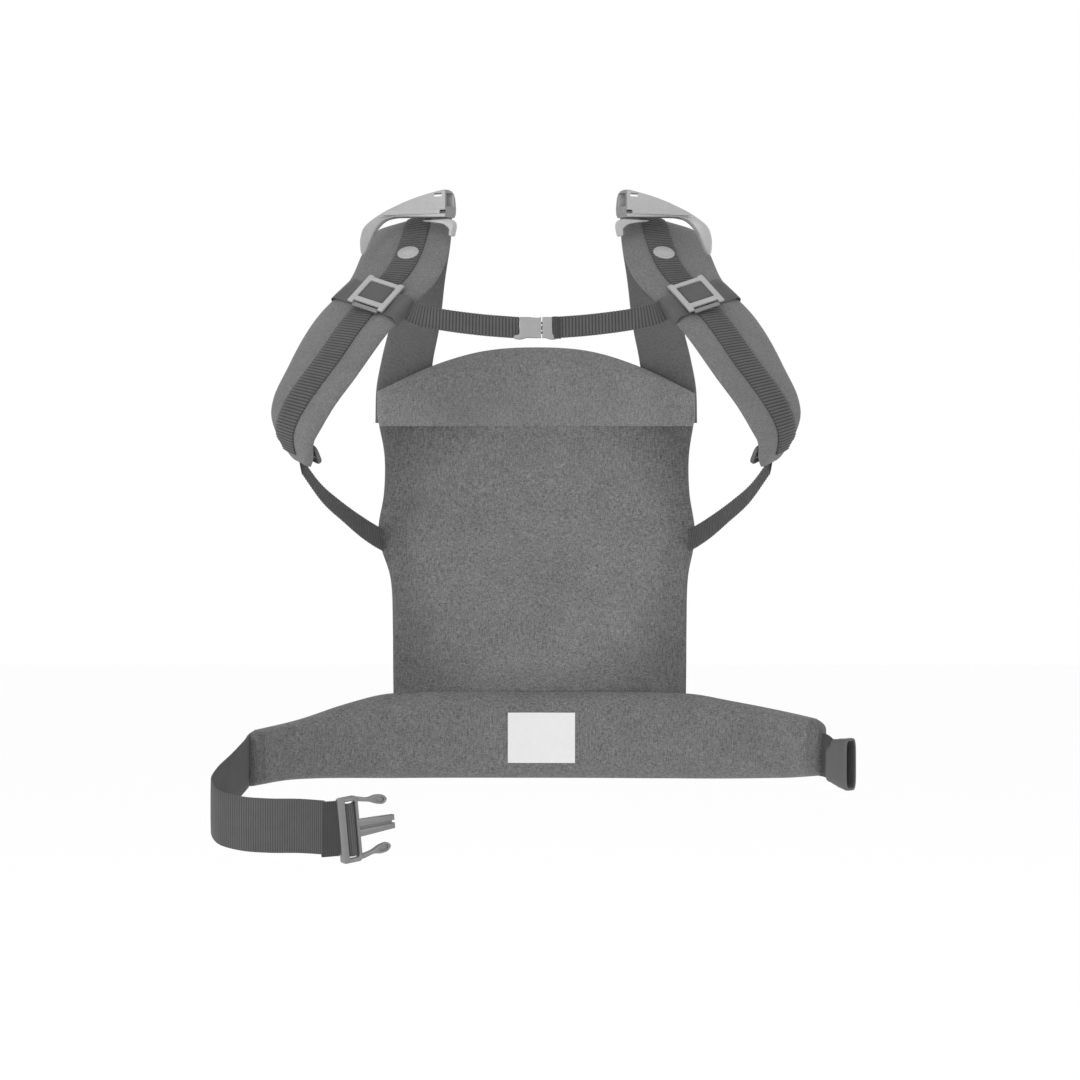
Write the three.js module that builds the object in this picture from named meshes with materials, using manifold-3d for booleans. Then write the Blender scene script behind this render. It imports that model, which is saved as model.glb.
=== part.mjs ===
// A soft front-worn baby carrier as it hangs on a wearer who faces +Y.
// Millimetres, +Z up, +X to the wearer's right as seen from behind.
// The origin is midway between the two shoulder arches, where the carrier rests on the shoulders.

import * as THREE from 'three';
import { mergeVertices } from 'three/addons/utils/BufferGeometryUtils.js';
import Module from 'manifold-3d';

const wasm = await Module();
wasm.setup();

// ---- driving dimensions -------------------------------------------------------------------

const GAP = 0.4; // between pieces that lie against each other
const COVER = 1.4; // a cover cloth with its backing
const WEBBING = 1.6; // thickness of every webbing

const PANEL_BOTTOM = -461.5;
const PANEL_TOP = -196.8;
const PANEL_FOAM = 5;
const PANEL_LEFT = [[-465, -141], [-400, -141], [-350, -144], [-308, -157],
  [-265, -152], [-228, -152], [-196, -158]];
const PANEL_RIGHT = [[-465, 148], [-400, 148], [-350, 150], [-308, 158],
  [-265, 153], [-228, 153], [-196, 158]];
const PANEL_EDGE_DEPTH = [[-465, 99], [-400, 100], [-300, 106], [-196, 114]];
const POUCH_DEPTH = [[-465, 32], [-430, 46], [-390, 46], [-340, 32], [-290, 16], [-240, 5], [-196, 0]];

const HEADREST_SEAM = -195.6;
const HEADREST_HALF = 158;
const HEADREST_FOAM = 7;
const HEADREST_DEPTH = 104;
const HEADREST_LEAN = 0.08; // how far it leans away from the wearer's chest for each millimetre up
const HEADREST_ARC = [[-158, -163], [-105, -138], [-54, -123], [0, -119], [54, -123], [105, -139],
  [158, -165]];

const BELT_LEFT = -262.5;
const BELT_RIGHT = 262;
const BELT_FOAM = 11;
const BELT_BAND = 8.5; // length of the binding at each end of the belt
const BELT_DEPTH = [[-300, -40], [-262, 9], [-232, 38], [-190, 68], [-141, 94], [-70, 114], [0, 120],
  [70, 114], [141, 94], [190, 68], [232, 38], [262, 9], [300, -40]];
const BELT_UPPER = [[-276, -498], [-229, -489], [-184, -475], [-141, -466], [0, -466], [147, -466],
  [189, -472], [237, -480], [278, -488]];
const BELT_LOWER = [[-276, -551], [-232, -547], [-136, -551], [0, -553], [147, -551], [237, -545],
  [278, -538]];
const LABEL = { left: -28.5, right: 39, low: -537, high: -486.5 };

// The left strap's centre line down its outer face, and the direction across it towards the spine.
const STRAP_LINE = [[-117, 8, -5], [-123, -13, -35], [-132, -32, -61], [-150, -50, -85], [-174, -72, -117],
  [-196.5, -90, -152], [-218, -99, -186], [-227.5, -95, -213], [-221, -74, -244]];
const STRAP_ACROSS = [[0.92, -0.35, 0.15], [0.93, -0.37, 0], [0.9, -0.42, -0.09], [0.86, -0.5, -0.12],
  [0.84, -0.53, -0.13], [0.82, -0.55, -0.17], [0.78, -0.59, -0.22], [0.66, -0.71, -0.25],
  [0.59, -0.75, -0.3]];
const STRAP_HALF = [[0, 36], [0.12, 41], [0.2, 41], [0.36, 37.5], [0.6, 37], [0.75, 34.5], [0.85, 32.5],
  [0.94, 22], [1, 12]];
const STRAP_FOAM = 8;
const RAIL = 25; // the ribbed webbing sewn down the middle of each strap
const RAIL_LIFT = 0.8;
const RAIL_END = 0.93; // where the rail stops short of the strap's tip
const RAIL_SHIFT = [[0, 0], [0.6, 0], [0.75, 3], [0.88, 6], [1, 8]]; // its drift towards the outer edge
const BADGE = { wide: 22, high: 16, thick: 1.6 };
const BADGE_AT = 0.155;
const SLIDER_AT = 0.375; // where the chest strap's sliders sit along the strap
const SLIDER_TURN = -14; // degrees that the chest strap pulls them round on the strap's face
const SLIDER = { wide: 36, high: 34, thick: 3, lift: 6.9 };
const KEEPER_LENGTH = 76;
const ADJUSTER = { wide: 30, high: 20, thick: 4, slotWide: 23, slotHigh: 3.4, slotAt: 3.6 };
const ADJUSTER_AT = 0.975;

const RISER_LINE = [[-132, 122, -195], [-132, 125, -160], [-129, 120, -134], [-121, 94, -100],
  [-113, 56, -58], [-105, 31, -20], [-104, 25, -7]];
const RISER_WIDTH = [[0, 54], [0.5, 50], [1, 42]];
const RISER_THICK = 3;

const ARCH_ORIGIN = [-78, -30, 0]; // the shoulder arch's inner end
const ARCH_YAW = 22; // degrees that the arch turns away towards its outer end
const ARCH_DEPTH = 12;
const ARCH_STRAIGHT = 62; // beyond this the arm bends away from the wearer's back
const ARCH_BEND = 0.032;
const LIP_DEPTH = 9;

const CHEST_WEBBING = 20;
const CHEST_BUCKLE = { x: 0, y: -82, z: -116, wide: 30, high: 20, deep: 9 };
const WAIST_WEBBING = 50;
const WAIST_LINE = [[-273.5, -6.7, -527.5], [-288, -32, -540], [-298.5, -59, -551], [-301, -84, -560],
  [-293, -100, -568], [-272, -109, -573], [-246, -111, -575], [-218, -104.5, -576], [-195.5, -91, -579]];
const MALE_AT = [-183, -80.5, -584];
const MALE_YAW = 36; // degrees that the male buckle points away from the wearer's back
const MALE_PITCH = 6;
const PLUG = { deep: 9, wide: 22, high: 62, windowAt: 12.5, windowWide: 12, windowHigh: 52.5 };
const TONGUE = { from: 20, to: 60, halfRoot: 9.5, halfTip: 7, deep: 7 };
const PRONG_DEPTH = 6;
const FOLD_LENGTH = 13; // the webbing's sewn end beside the plug's first bar
const FEMALE_AT = [276, -9.2, -525.6];
const FEMALE_YAW = -47;
const SOCKET_DEPTH = 14;
const SOCKET_WEBBING = 34;

// ---- materials ----------------------------------------------------------------------------

const cloth = (color) => new THREE.MeshStandardMaterial({ color, roughness: 0.95, metalness: 0 });
const plastic = (color, roughness) => new THREE.MeshStandardMaterial({ color, roughness, metalness: 0 });

const HEATHER = cloth(0x6b6b6b);
const LIGHT_HEATHER = cloth(0x7d7d7d);
const DARK_CLOTH = cloth(0x4d4d4d);
const DARK_WEBBING = cloth(0x4a4a4a);
const FOAM = cloth(0xd9d6cc);
const LABEL_CLOTH = cloth(0xf4f4f4);
const LIGHT_PLASTIC = plastic(0xc0c0c0, 0.35);
const GREY_PLASTIC = plastic(0x9c9c9c, 0.4);
const DARK_PLASTIC = plastic(0x666666, 0.45);
const BLACK_PLASTIC = plastic(0x3d3d3d, 0.5);

// ---- helpers ------------------------------------------------------------------------------

const carrier = new THREE.Group();

/** Adds one named piece to a parent group. */
function add(name, geometry, material, parent = carrier) {
  const mesh = new THREE.Mesh(geometry, material);
  mesh.name = name;
  parent.add(mesh);
  return mesh;
}

/** Six times the volume enclosed by a geometry, negative where its faces point inwards. */
function signedVolume(geometry) {
  const place = geometry.attributes.position;
  const corners = [new THREE.Vector3(), new THREE.Vector3(), new THREE.Vector3()];
  let sum = 0;
  for (let i = 0; i < geometry.index.count; i += 3) {
    corners.forEach((corner, k) => corner.fromBufferAttribute(place, geometry.index.getX(i + k)));
    sum += corners[0].dot(corners[1].cross(corners[2]));
  }
  return sum;
}

/** Joins shared corners and turns every face outwards. */
function closed(geometry) {
  const bare = geometry.clone();
  bare.deleteAttribute('normal');
  bare.deleteAttribute('uv');
  const merged = mergeVertices(bare, 1e-4);
  if (signedVolume(merged) < 0) {
    const index = Array.from(merged.index.array);
    for (let i = 0; i < index.length; i += 3) {
      [index[i], index[i + 1]] = [index[i + 1], index[i]];
    }
    merged.setIndex(index);
  }
  merged.computeVertexNormals();
  return merged;
}

/** A copy for the other side of the carrier. */
function mirrored(geometry) {
  return closed(geometry.clone().scale(-1, 1, 1));
}

/** Adds a left piece and its mirror image. */
function addPair(name, geometry, material) {
  add(`${name}_left`, geometry, material);
  add(`${name}_right`, mirrored(geometry), material);
}

function toSolid(geometry) {
  const merged = closed(geometry);
  return new wasm.Manifold(new wasm.Mesh({
    numProp: 3,
    vertProperties: new Float32Array(merged.attributes.position.array),
    triVerts: new Uint32Array(merged.index.array),
  }));
}

function toGeometry(solid) {
  const mesh = solid.getMesh();
  const geometry = new THREE.BufferGeometry();
  geometry.setAttribute('position', new THREE.BufferAttribute(new Float32Array(mesh.vertProperties), 3));
  geometry.setIndex(Array.from(mesh.triVerts));
  return closed(geometry);
}

/** One geometry with the others cut from it. */
function cut(body, ...tools) {
  return toGeometry(tools.reduce((solid, tool) => solid.subtract(toSolid(tool)), toSolid(body)));
}

/** Several overlapping geometries joined into one. */
function join(first, ...others) {
  return toGeometry(others.reduce((solid, other) => solid.add(toSolid(other)), toSolid(first)));
}

/** A smooth function through [position, value] pairs. */
function through(pairs) {
  const slope = (i) => {
    const before = pairs[Math.max(i - 1, 0)];
    const after = pairs[Math.min(i + 1, pairs.length - 1)];
    return (after[1] - before[1]) / (after[0] - before[0]);
  };
  return (at) => {
    const next = pairs.findIndex((pair) => pair[0] > at);
    const i = THREE.MathUtils.clamp(next < 0 ? pairs.length - 2 : next - 1, 0, pairs.length - 2);
    const width = pairs[i + 1][0] - pairs[i][0];
    const t = THREE.MathUtils.clamp((at - pairs[i][0]) / width, 0, 1);
    const rise = t * t * (3 - 2 * t);
    const leave = t * (1 - t) * (1 - t) * width * slope(i);
    const arrive = t * t * (t - 1) * width * slope(i + 1);
    return pairs[i][1] * (1 - rise) + pairs[i + 1][1] * rise + leave + arrive;
  };
}

const toCurve = (points) => new THREE.CatmullRomCurve3(points.map((p) => new THREE.Vector3(...p)));

/** The unit normal of a surface, by the right-hand rule from across to along. */
function normalAt(surface, a, b) {
  const step = 1e-3;
  const across = surface(a + step, b).sub(surface(a - step, b));
  const along = surface(a, Math.min(b + step, 1)).sub(surface(a, Math.max(b - step, 0)));
  return across.cross(along).normalize();
}

/** A closed slab that follows a surface, between two offsets along its normal. */
function slab(surface, low, high, across, along) {
  const points = [];
  [low, high].forEach((offset) => {
    for (let j = 0; j <= along; j += 1) {
      for (let i = 0; i <= across; i += 1) {
        const a = -1 + (2 * i) / across;
        const b = j / along;
        points.push(surface(a, b).addScaledVector(normalAt(surface, a, b), offset));
      }
    }
  });
  const row = across + 1;
  const sheet = row * (along + 1);
  const index = [];
  const quad = (p, q, r, s) => index.push(p, q, r, p, r, s);
  for (let j = 0; j < along; j += 1) {
    for (let i = 0; i < across; i += 1) {
      const corner = j * row + i;
      quad(corner, corner + 1, corner + row + 1, corner + row);
      const over = corner + sheet;
      index.push(over, over + row + 1, over + 1, over, over + row, over + row + 1);
    }
  }
  const rim = [];
  for (let i = 0; i < across; i += 1) rim.push(i);
  for (let j = 0; j < along; j += 1) rim.push(j * row + across);
  for (let i = across; i > 0; i -= 1) rim.push(along * row + i);
  for (let j = along; j > 0; j -= 1) rim.push(j * row);
  rim.forEach((from, k) => {
    const to = rim[(k + 1) % rim.length];
    quad(to, from, from + sheet, to + sheet);
  });
  const geometry = new THREE.BufferGeometry().setFromPoints(points);
  geometry.setIndex(index);
  return closed(geometry);
}

/** A surface along a centre line, with a width and a direction across it. */
function band(line, acrossAt, halfAt) {
  const curve = toCurve(line);
  return (a, b) => {
    const t = THREE.MathUtils.clamp(b, 0, 1);
    return curve.getPoint(t).addScaledVector(acrossAt(t), a * halfAt(t));
  };
}

/** An outline with rounded corners, extruded about the middle of its depth. */
function plate(shape, depth, bevel, steps = 1) {
  const geometry = new THREE.ExtrudeGeometry(shape, {
    depth: depth - 2 * bevel,
    bevelEnabled: bevel > 0,
    bevelThickness: bevel,
    bevelSize: bevel,
    bevelOffset: -bevel,
    bevelSegments: 1,
    curveSegments: 4,
    steps,
  });
  return geometry.translate(0, 0, -depth / 2 + bevel);
}

/** A rounded rectangle about a centre, as a shape or as a hole. */
function roundedBox(width, height, radius, x = 0, y = 0, Outline = THREE.Shape) {
  const w = width / 2;
  const h = height / 2;
  const outline = new Outline();
  outline.moveTo(x - w + radius, y - h);
  outline.lineTo(x + w - radius, y - h);
  outline.absarc(x + w - radius, y - h + radius, radius, -Math.PI / 2, 0);
  outline.absarc(x + w - radius, y + h - radius, radius, 0, Math.PI / 2);
  outline.absarc(x - w + radius, y + h - radius, radius, Math.PI / 2, Math.PI);
  outline.absarc(x - w + radius, y - h + radius, radius, Math.PI, Math.PI * 1.5);
  return outline;
}

/** A smooth closed outline through points, each [x, y]. */
function outlineThrough(points) {
  const curve = new THREE.SplineCurve([...points, points[0]].map((p) => new THREE.Vector2(...p)));
  return new THREE.Shape(curve.getPoints(points.length * 3).slice(0, -1));
}

// ---- body panel ---------------------------------------------------------------------------

const panelLeft = through(PANEL_LEFT);
const panelRight = through(PANEL_RIGHT);
const panelEdge = through(PANEL_EDGE_DEPTH);
const pouch = through(POUCH_DEPTH);

function panelSurface(a, b) {
  const z = THREE.MathUtils.lerp(PANEL_BOTTOM, PANEL_TOP, b);
  const middle = (panelLeft(z) + panelRight(z)) / 2;
  const half = (panelRight(z) - panelLeft(z)) / 2;
  return new THREE.Vector3(middle + a * half, panelEdge(z) + pouch(z) * (1 - a * a), z);
}

/** Three sewn layers behind a surface whose face is towards the wearer. */
function addLayers(name, surface, foam, across, along, material) {
  const backs = [COVER, COVER + GAP + foam, 2 * (COVER + GAP) + foam];
  add(`${name}_inner_cover`, slab(surface, 0, -backs[0], across, along), material);
  add(`${name}_padding`, slab(surface, -backs[0] - GAP, -backs[1], across, along), FOAM);
  add(`${name}_outer_cover`, slab(surface, -backs[1] - GAP, -backs[2], across, along), material);
}

addLayers('panel', panelSurface, PANEL_FOAM, 8, 10, HEATHER);

// ---- headrest -----------------------------------------------------------------------------

const headrestArc = through(HEADREST_ARC);

function headrestSurface(a, b) {
  const x = a * HEADREST_HALF;
  const z = THREE.MathUtils.lerp(HEADREST_SEAM, headrestArc(x), b);
  return new THREE.Vector3(x, HEADREST_DEPTH + HEADREST_LEAN * (z - HEADREST_SEAM), z);
}

addLayers('headrest', headrestSurface, HEADREST_FOAM, 12, 3, LIGHT_HEATHER);

// ---- risers from the panel's top corners to the shoulders --------------------------------------

const ALONG_X = new THREE.Vector3(1, 0, 0);
const riserWidth = through(RISER_WIDTH);
const riserSurface = band(RISER_LINE, () => ALONG_X, (t) => riserWidth(t) / 2);
addPair('riser', slab(riserSurface, 0, -RISER_THICK, 2, 12), DARK_CLOTH);

// ---- padded shoulder straps -------------------------------------------------------------------

const strapHalf = through(STRAP_HALF);
const strapAcrossCurve = toCurve(STRAP_ACROSS);
const strapAcross = (t) => strapAcrossCurve.getPoint(t).normalize();
const strapCurve = toCurve(STRAP_LINE);
const strapOutwards = (t) => strapAcross(t).negate();
const strapSurface = band(STRAP_LINE, strapOutwards, strapHalf);

function addStraps() {
  const steps = [4, 16];
  const foamBack = COVER + GAP + STRAP_FOAM;
  const innerFront = foamBack + GAP;
  addPair('strap_outer_cover', slab(strapSurface, 0, -COVER, ...steps), LIGHT_HEATHER);
  addPair('strap_padding', slab(strapSurface, -COVER - GAP, -foamBack, ...steps), FOAM);
  addPair('strap_inner_cover', slab(strapSurface, -innerFront, -innerFront - COVER, ...steps), DARK_CLOTH);
  const shift = through(RAIL_SHIFT);
  const rail = (a, b) => {
    const t = b * RAIL_END;
    return strapSurface((shift(t) + (a * RAIL) / 2) / strapHalf(t), t);
  };
  addPair('rail_webbing', slab(rail, RAIL_LIFT, RAIL_LIFT + WEBBING, 2, 16), DARK_WEBBING);
}

/** The frame of axes on the strap's face: across towards the spine, up the strap, and out of it. */
function strapFrame(t, lift) {
  const across = strapAcross(t);
  const up = strapCurve.getTangent(t).negate();
  const out = new THREE.Vector3().crossVectors(across, up).normalize();
  const upright = new THREE.Vector3().crossVectors(out, across);
  const origin = strapCurve.getPoint(t).addScaledVector(out, lift);
  return new THREE.Matrix4().makeBasis(across, upright, out).setPosition(origin);
}

function addBadges() {
  const oval = new THREE.Shape().absellipse(0, 0, BADGE.wide / 2, BADGE.high / 2, 0, Math.PI * 2);
  const place = strapFrame(BADGE_AT, RAIL_LIFT + WEBBING + BADGE.thick / 2 + GAP + 0.1);
  const badge = plate(oval, BADGE.thick, 0.3).applyMatrix4(place);
  addPair('badge', closed(badge), LIGHT_PLASTIC);
}

/** The band across the strap and the four-bar frame over it, which slide along the rail together. */
function addSliders() {
  const turn = new THREE.Matrix4().makeRotationZ(THREE.MathUtils.degToRad(SLIDER_TURN));
  const place = strapFrame(SLIDER_AT, 0).multiply(turn);
  const keeper = new THREE.BoxGeometry(KEEPER_LENGTH, CHEST_WEBBING, WEBBING, 4, 1, 1).translate(0, 0, 4);
  addPair('keeper_band', closed(keeper.applyMatrix4(place)), DARK_WEBBING);
  const shape = roundedBox(SLIDER.wide, SLIDER.high, 3);
  shape.holes.push(roundedBox(SLIDER.wide - 10.5, SLIDER.high - 12.5, 1.5, 0, 1.7, THREE.Path));
  const frame = plate(shape, SLIDER.thick, 0.8).translate(0, 0, SLIDER.lift).applyMatrix4(place);
  addPair('slider', closed(frame), LIGHT_PLASTIC);
}

addStraps();
addBadges();
addSliders();

// ---- shoulder arches ------------------------------------------------------------------------

/** Places a shape drawn with X outwards from the arch's inner end and Y up. */
function onShoulder(geometry) {
  const place = geometry.attributes.position;
  for (let i = 0; i < place.count; i += 1) {
    const beyond = Math.max(0, place.getX(i) - ARCH_STRAIGHT);
    place.setZ(i, place.getZ(i) - ARCH_BEND * beyond * beyond);
  }
  const upright = new THREE.Matrix4().set(-1, 0, 0, 0, 0, 0, 1, 0, 0, 1, 0, 0, 0, 0, 0, 1);
  const turned = geometry.applyMatrix4(upright).rotateZ(-THREE.MathUtils.degToRad(ARCH_YAW));
  return closed(turned.translate(...ARCH_ORIGIN));
}

function archGeometry() {
  const shape = new THREE.Shape();
  shape.moveTo(1.5, -7.2);
  shape.lineTo(54, -4.8);
  const arm = [[62, -6], [70.2, -11.8], [75.4, -22], [78.8, -31], [82.6, -41]];
  shape.splineThru(arm.map((p) => new THREE.Vector2(...p)));
  shape.quadraticCurveTo(85.9, -46, 87, -37);
  shape.splineThru([[86.7, -27], [81.8, -13.5], [71.1, -1.4]].map((p) => new THREE.Vector2(...p)));
  shape.splineThru([[53, 5], [33, 11.5], [9, 19]].map((p) => new THREE.Vector2(...p)));
  shape.quadraticCurveTo(3.5, 19.5, 1.5, 12);
  shape.lineTo(0, 1);
  const body = plate(shape, ARCH_DEPTH, 1);
  const recess = new THREE.BoxGeometry(8, 8, 5).translate(1.5, 5, 0);
  const lean = new THREE.Matrix4().makeShear(0, 0, 0, 0, Math.tan(THREE.MathUtils.degToRad(ARCH_YAW)), 0);
  const slots = [[6.5, 2.6, 14, 14.2], [7, 3.6, 9.8, 0]].map(([wide, high, x, y]) => (
    plate(roundedBox(wide, high, high / 2 - 0.1, x, y), 2 * ARCH_DEPTH, 0).applyMatrix4(lean)));
  return cut(body, recess, ...slots);
}

function archLipGeometry() {
  const points = [[25, -10], [12, -9.2], [1, -9.2], [-3.6, -15.5], [-1.6, -24.5], [1.6, -24.5],
    [1.4, -18.5], [8, -14]];
  return plate(new THREE.Shape(points.map((p) => new THREE.Vector2(...p))), LIP_DEPTH, 0.6);
}

addPair('shoulder_arch', onShoulder(archGeometry()), LIGHT_PLASTIC);
addPair('arch_lip', onShoulder(archLipGeometry()), LIGHT_PLASTIC);

// ---- chest strap ---------------------------------------------------------------------------

const UP = new THREE.Vector3(0, 0, 1);

/** A webbing with a square section along a line, standing upright unless told otherwise. */
function webbing(line, width, steps, acrossAt = () => UP) {
  const surface = band(line, acrossAt, () => width / 2);
  return slab(surface, -WEBBING / 2, WEBBING / 2, 1, steps);
}

function addChestStrap() {
  const { x, y, z, wide, high, deep } = CHEST_BUCKLE;
  const inner = x - wide / 2 - GAP;
  const line = [[-112, -79, -102.5], [-89, -82, -108], [-70, -82.5, -111], [-52, -82.5, -113],
    [inner, -82, -116]];
  addPair('chest_webbing', webbing(line, CHEST_WEBBING, 8), DARK_WEBBING);
  const buckle = new THREE.Group();
  buckle.position.set(x, y, z);
  carrier.add(buckle);
  const upright = (geometry) => closed(geometry.rotateX(Math.PI / 2));

  const shell = plate(roundedBox(20, high, 2), deep, 1).translate(-wide / 2 + 10, 0, 0);
  const socket = new THREE.BoxGeometry(18, high - 7, deep - 4).translate(-wide / 2 + 13, 0, 0);
  const windows = new THREE.BoxGeometry(8, high + 4, deep - 4).translate(-wide / 2 + 12.5, 0, 0);
  add('chest_buckle_socket', upright(cut(shell, socket, windows)), LIGHT_PLASTIC, buckle);

  const bar = plate(roundedBox(9, high, 1.5), deep - 2, 0.8).translate(wide / 2 - 4.5, 0, 0);
  const tongue = new THREE.BoxGeometry(20, 4, deep - 5.5).translate(wide / 2 - 13, 0, 0);
  add('chest_buckle_plug', upright(join(bar, tongue)), LIGHT_PLASTIC, buckle);

  [['upper', 1], ['lower', -1]].forEach(([end, side]) => {
    const points = [[5.6, 3.2], [5.6, 5.6], [1.2, 6], [-0.2, 9.2], [-4.5, 9.4], [-5.6, 6.6], [-2, 4.6]];
    const arm = new THREE.Shape(points.map(([px, py]) => new THREE.Vector2(px, py * side)));
    add(`chest_prong_${end}`, upright(plate(arm, deep - 5.5, 0)), LIGHT_PLASTIC, buckle);
  });
}

addChestStrap();

// ---- lower webbing from each strap's end to the panel's side ----------------------------------------

function addLowerWebbing() {
  const line = [[-217.5, -66, -247.5], [-203.4, -29, -268.5], [-187.3, 15.5, -285.5], [-171, 60, -300.5],
    [-167.5, 97, -310.5]];
  const turn = toCurve([[-0.5, 0.6, 0.62], [-0.27, 0.44, 0.86], [-0.16, 0.42, 0.89], [0, 0.37, 0.93],
    [0.09, 0.34, 0.94]]);
  addPair('lower_webbing', webbing(line, 22, 10, (t) => turn.getPoint(t).normalize()), DARK_WEBBING);
  const { wide, high, thick, slotWide, slotHigh, slotAt } = ADJUSTER;
  const shape = roundedBox(wide, high, 4);
  shape.holes.push(roundedBox(slotWide, slotHigh, 1, 0, slotAt, THREE.Path));
  shape.holes.push(roundedBox(slotWide, slotHigh, 1, 0, -slotAt, THREE.Path));
  const place = strapFrame(ADJUSTER_AT, -14.5);
  const adjuster = plate(shape, thick, 0.8).translate(2, 0, 0).applyMatrix4(place);
  addPair('strap_adjuster', closed(adjuster), BLACK_PLASTIC);
}

addLowerWebbing();

// ---- waist belt -------------------------------------------------------------------------------

const beltDepth = through(BELT_DEPTH);
const beltUpper = through(BELT_UPPER);
const beltLower = through(BELT_LOWER);

/** A stretch of the belt's inner face between two places across the wearer. */
function beltStretch(left, right) {
  return (a, b) => {
    const x = THREE.MathUtils.lerp(left, right, (a + 1) / 2);
    return new THREE.Vector3(x, beltDepth(x), THREE.MathUtils.lerp(beltLower(x), beltUpper(x), b));
  };
}

const BELT_THICK = 2 * (COVER + GAP) + BELT_FOAM;
addLayers('belt', beltStretch(BELT_LEFT, BELT_RIGHT), BELT_FOAM, 20, 2, HEATHER);
const endBand = (left, right) => slab(beltStretch(left, right), 0, -BELT_THICK, 2, 2);
add('belt_end_left', endBand(BELT_LEFT - BELT_BAND, BELT_LEFT - GAP), DARK_CLOTH);
add('belt_end_right', endBand(BELT_RIGHT + GAP, BELT_RIGHT + BELT_BAND), DARK_CLOTH);

function labelSurface(a, b) {
  const x = THREE.MathUtils.lerp(LABEL.left, LABEL.right, (a + 1) / 2);
  return new THREE.Vector3(x, beltDepth(x), THREE.MathUtils.lerp(LABEL.low, LABEL.high, b));
}

add('care_label', slab(labelSurface, GAP + 0.4, GAP + 1, 4, 1), LABEL_CLOTH);

// ---- waist webbing and its side-release buckle -------------------------------------------------------

add('waist_webbing', webbing(WAIST_LINE, WAIST_WEBBING, 24), DARK_WEBBING);

const male = new THREE.Group();
male.position.set(...MALE_AT);
male.rotation.set(0, -THREE.MathUtils.degToRad(MALE_PITCH), THREE.MathUtils.degToRad(MALE_YAW), 'ZYX');
carrier.add(male);

/** Turns a shape drawn in X and Y so that its Y stands up. */
const standing = (geometry) => closed(geometry.rotateX(Math.PI / 2));

function maleFrameGeometry() {
  const frame = roundedBox(PLUG.wide, PLUG.high, 3, PLUG.wide / 2, 0);
  frame.holes.push(roundedBox(PLUG.windowWide, PLUG.windowHigh, 1.5, PLUG.windowAt, 0, THREE.Path));
  const body = plate(frame, PLUG.deep, 1.2);
  const tongue = new THREE.Shape();
  tongue.moveTo(TONGUE.from, -TONGUE.halfRoot);
  tongue.lineTo(TONGUE.to, -TONGUE.halfTip);
  tongue.lineTo(TONGUE.to, TONGUE.halfTip);
  tongue.lineTo(TONGUE.from, TONGUE.halfRoot);
  const groove = new THREE.BoxGeometry(36, 2, 3).translate(42, 0, 4);
  const joined = join(body, plate(tongue, TONGUE.deep, 0.8));
  return cut(joined, groove);
}

add('waist_buckle_plug', standing(maleFrameGeometry()), GREY_PLASTIC, male);

[['upper', 1], ['lower', -1]].forEach(([end, side]) => {
  const arm = [[23.4, 29.3], [34, 26.8], [42, 27.8], [50, 26.8], [54, 22.3], [50, 18.3], [42, 19.5],
    [34, 22.6], [23.4, 25]];
  const shape = outlineThrough(arm.map(([x, y]) => [x, y * side]));
  add(`waist_prong_${end}`, standing(plate(shape, PRONG_DEPTH, 1)), GREY_PLASTIC, male);
});

// The webbing's end is folded round the plug's first bar and sewn back on itself.
function foldedEnd() {
  return standing(plate(roundedBox(WEBBING * 2 + 1, WAIST_WEBBING, 1.2), FOLD_LENGTH, 0)
    .rotateY(Math.PI / 2).translate(-FOLD_LENGTH / 2 - GAP, 0, 0));
}
add('webbing_keeper', foldedEnd(), DARK_WEBBING, male);
const foldInWindow = plate(roundedBox(PLUG.windowWide - 2, WAIST_WEBBING, 3, PLUG.windowAt, 0), 6.5, 1.6);
add('webbing_fold', standing(foldInWindow), DARK_WEBBING, male);

const female = new THREE.Group();
female.position.set(...FEMALE_AT);
female.rotation.z = THREE.MathUtils.degToRad(FEMALE_YAW);
carrier.add(female);

function femaleGeometry() {
  const flare = [[0, 16], [6, 18], [12, 20.5], [20, 23], [27, 24.3], [33, 24.6]];
  const outline = [...flare.map(([x, y]) => [x, -y]), ...flare.toReversed()];
  const shell = plate(new THREE.Shape(outline.map((p) => new THREE.Vector2(...p))), SOCKET_DEPTH, 2);
  const throat = new THREE.BoxGeometry(30, 30, 9).translate(22, 0, 0);
  const mouth = new THREE.BoxGeometry(14, 42, 9).translate(28, 0, 0);
  const latch = new THREE.BoxGeometry(8, 70, 8).translate(16, 0, 0);
  return cut(shell, throat, mouth, latch);
}

add('waist_buckle_socket', standing(femaleGeometry()), DARK_PLASTIC, female);

const shortLine = [[270.8, -4.2, -523], [272.3, -6, -524], [273.6, -7.6, -525]];
add('socket_webbing', webbing(shortLine, SOCKET_WEBBING, 3), DARK_WEBBING);

export default carrier;
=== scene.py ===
"""A soft front-worn baby carrier as it hangs on an unseen wearer who faces +Y.

Shapes are worked out in millimetres and scaled to metres where a piece is added.
"""

import itertools
import math

import bmesh
import bpy
from mathutils import Matrix, Vector, noise
from mathutils.bvhtree import BVHTree


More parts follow.
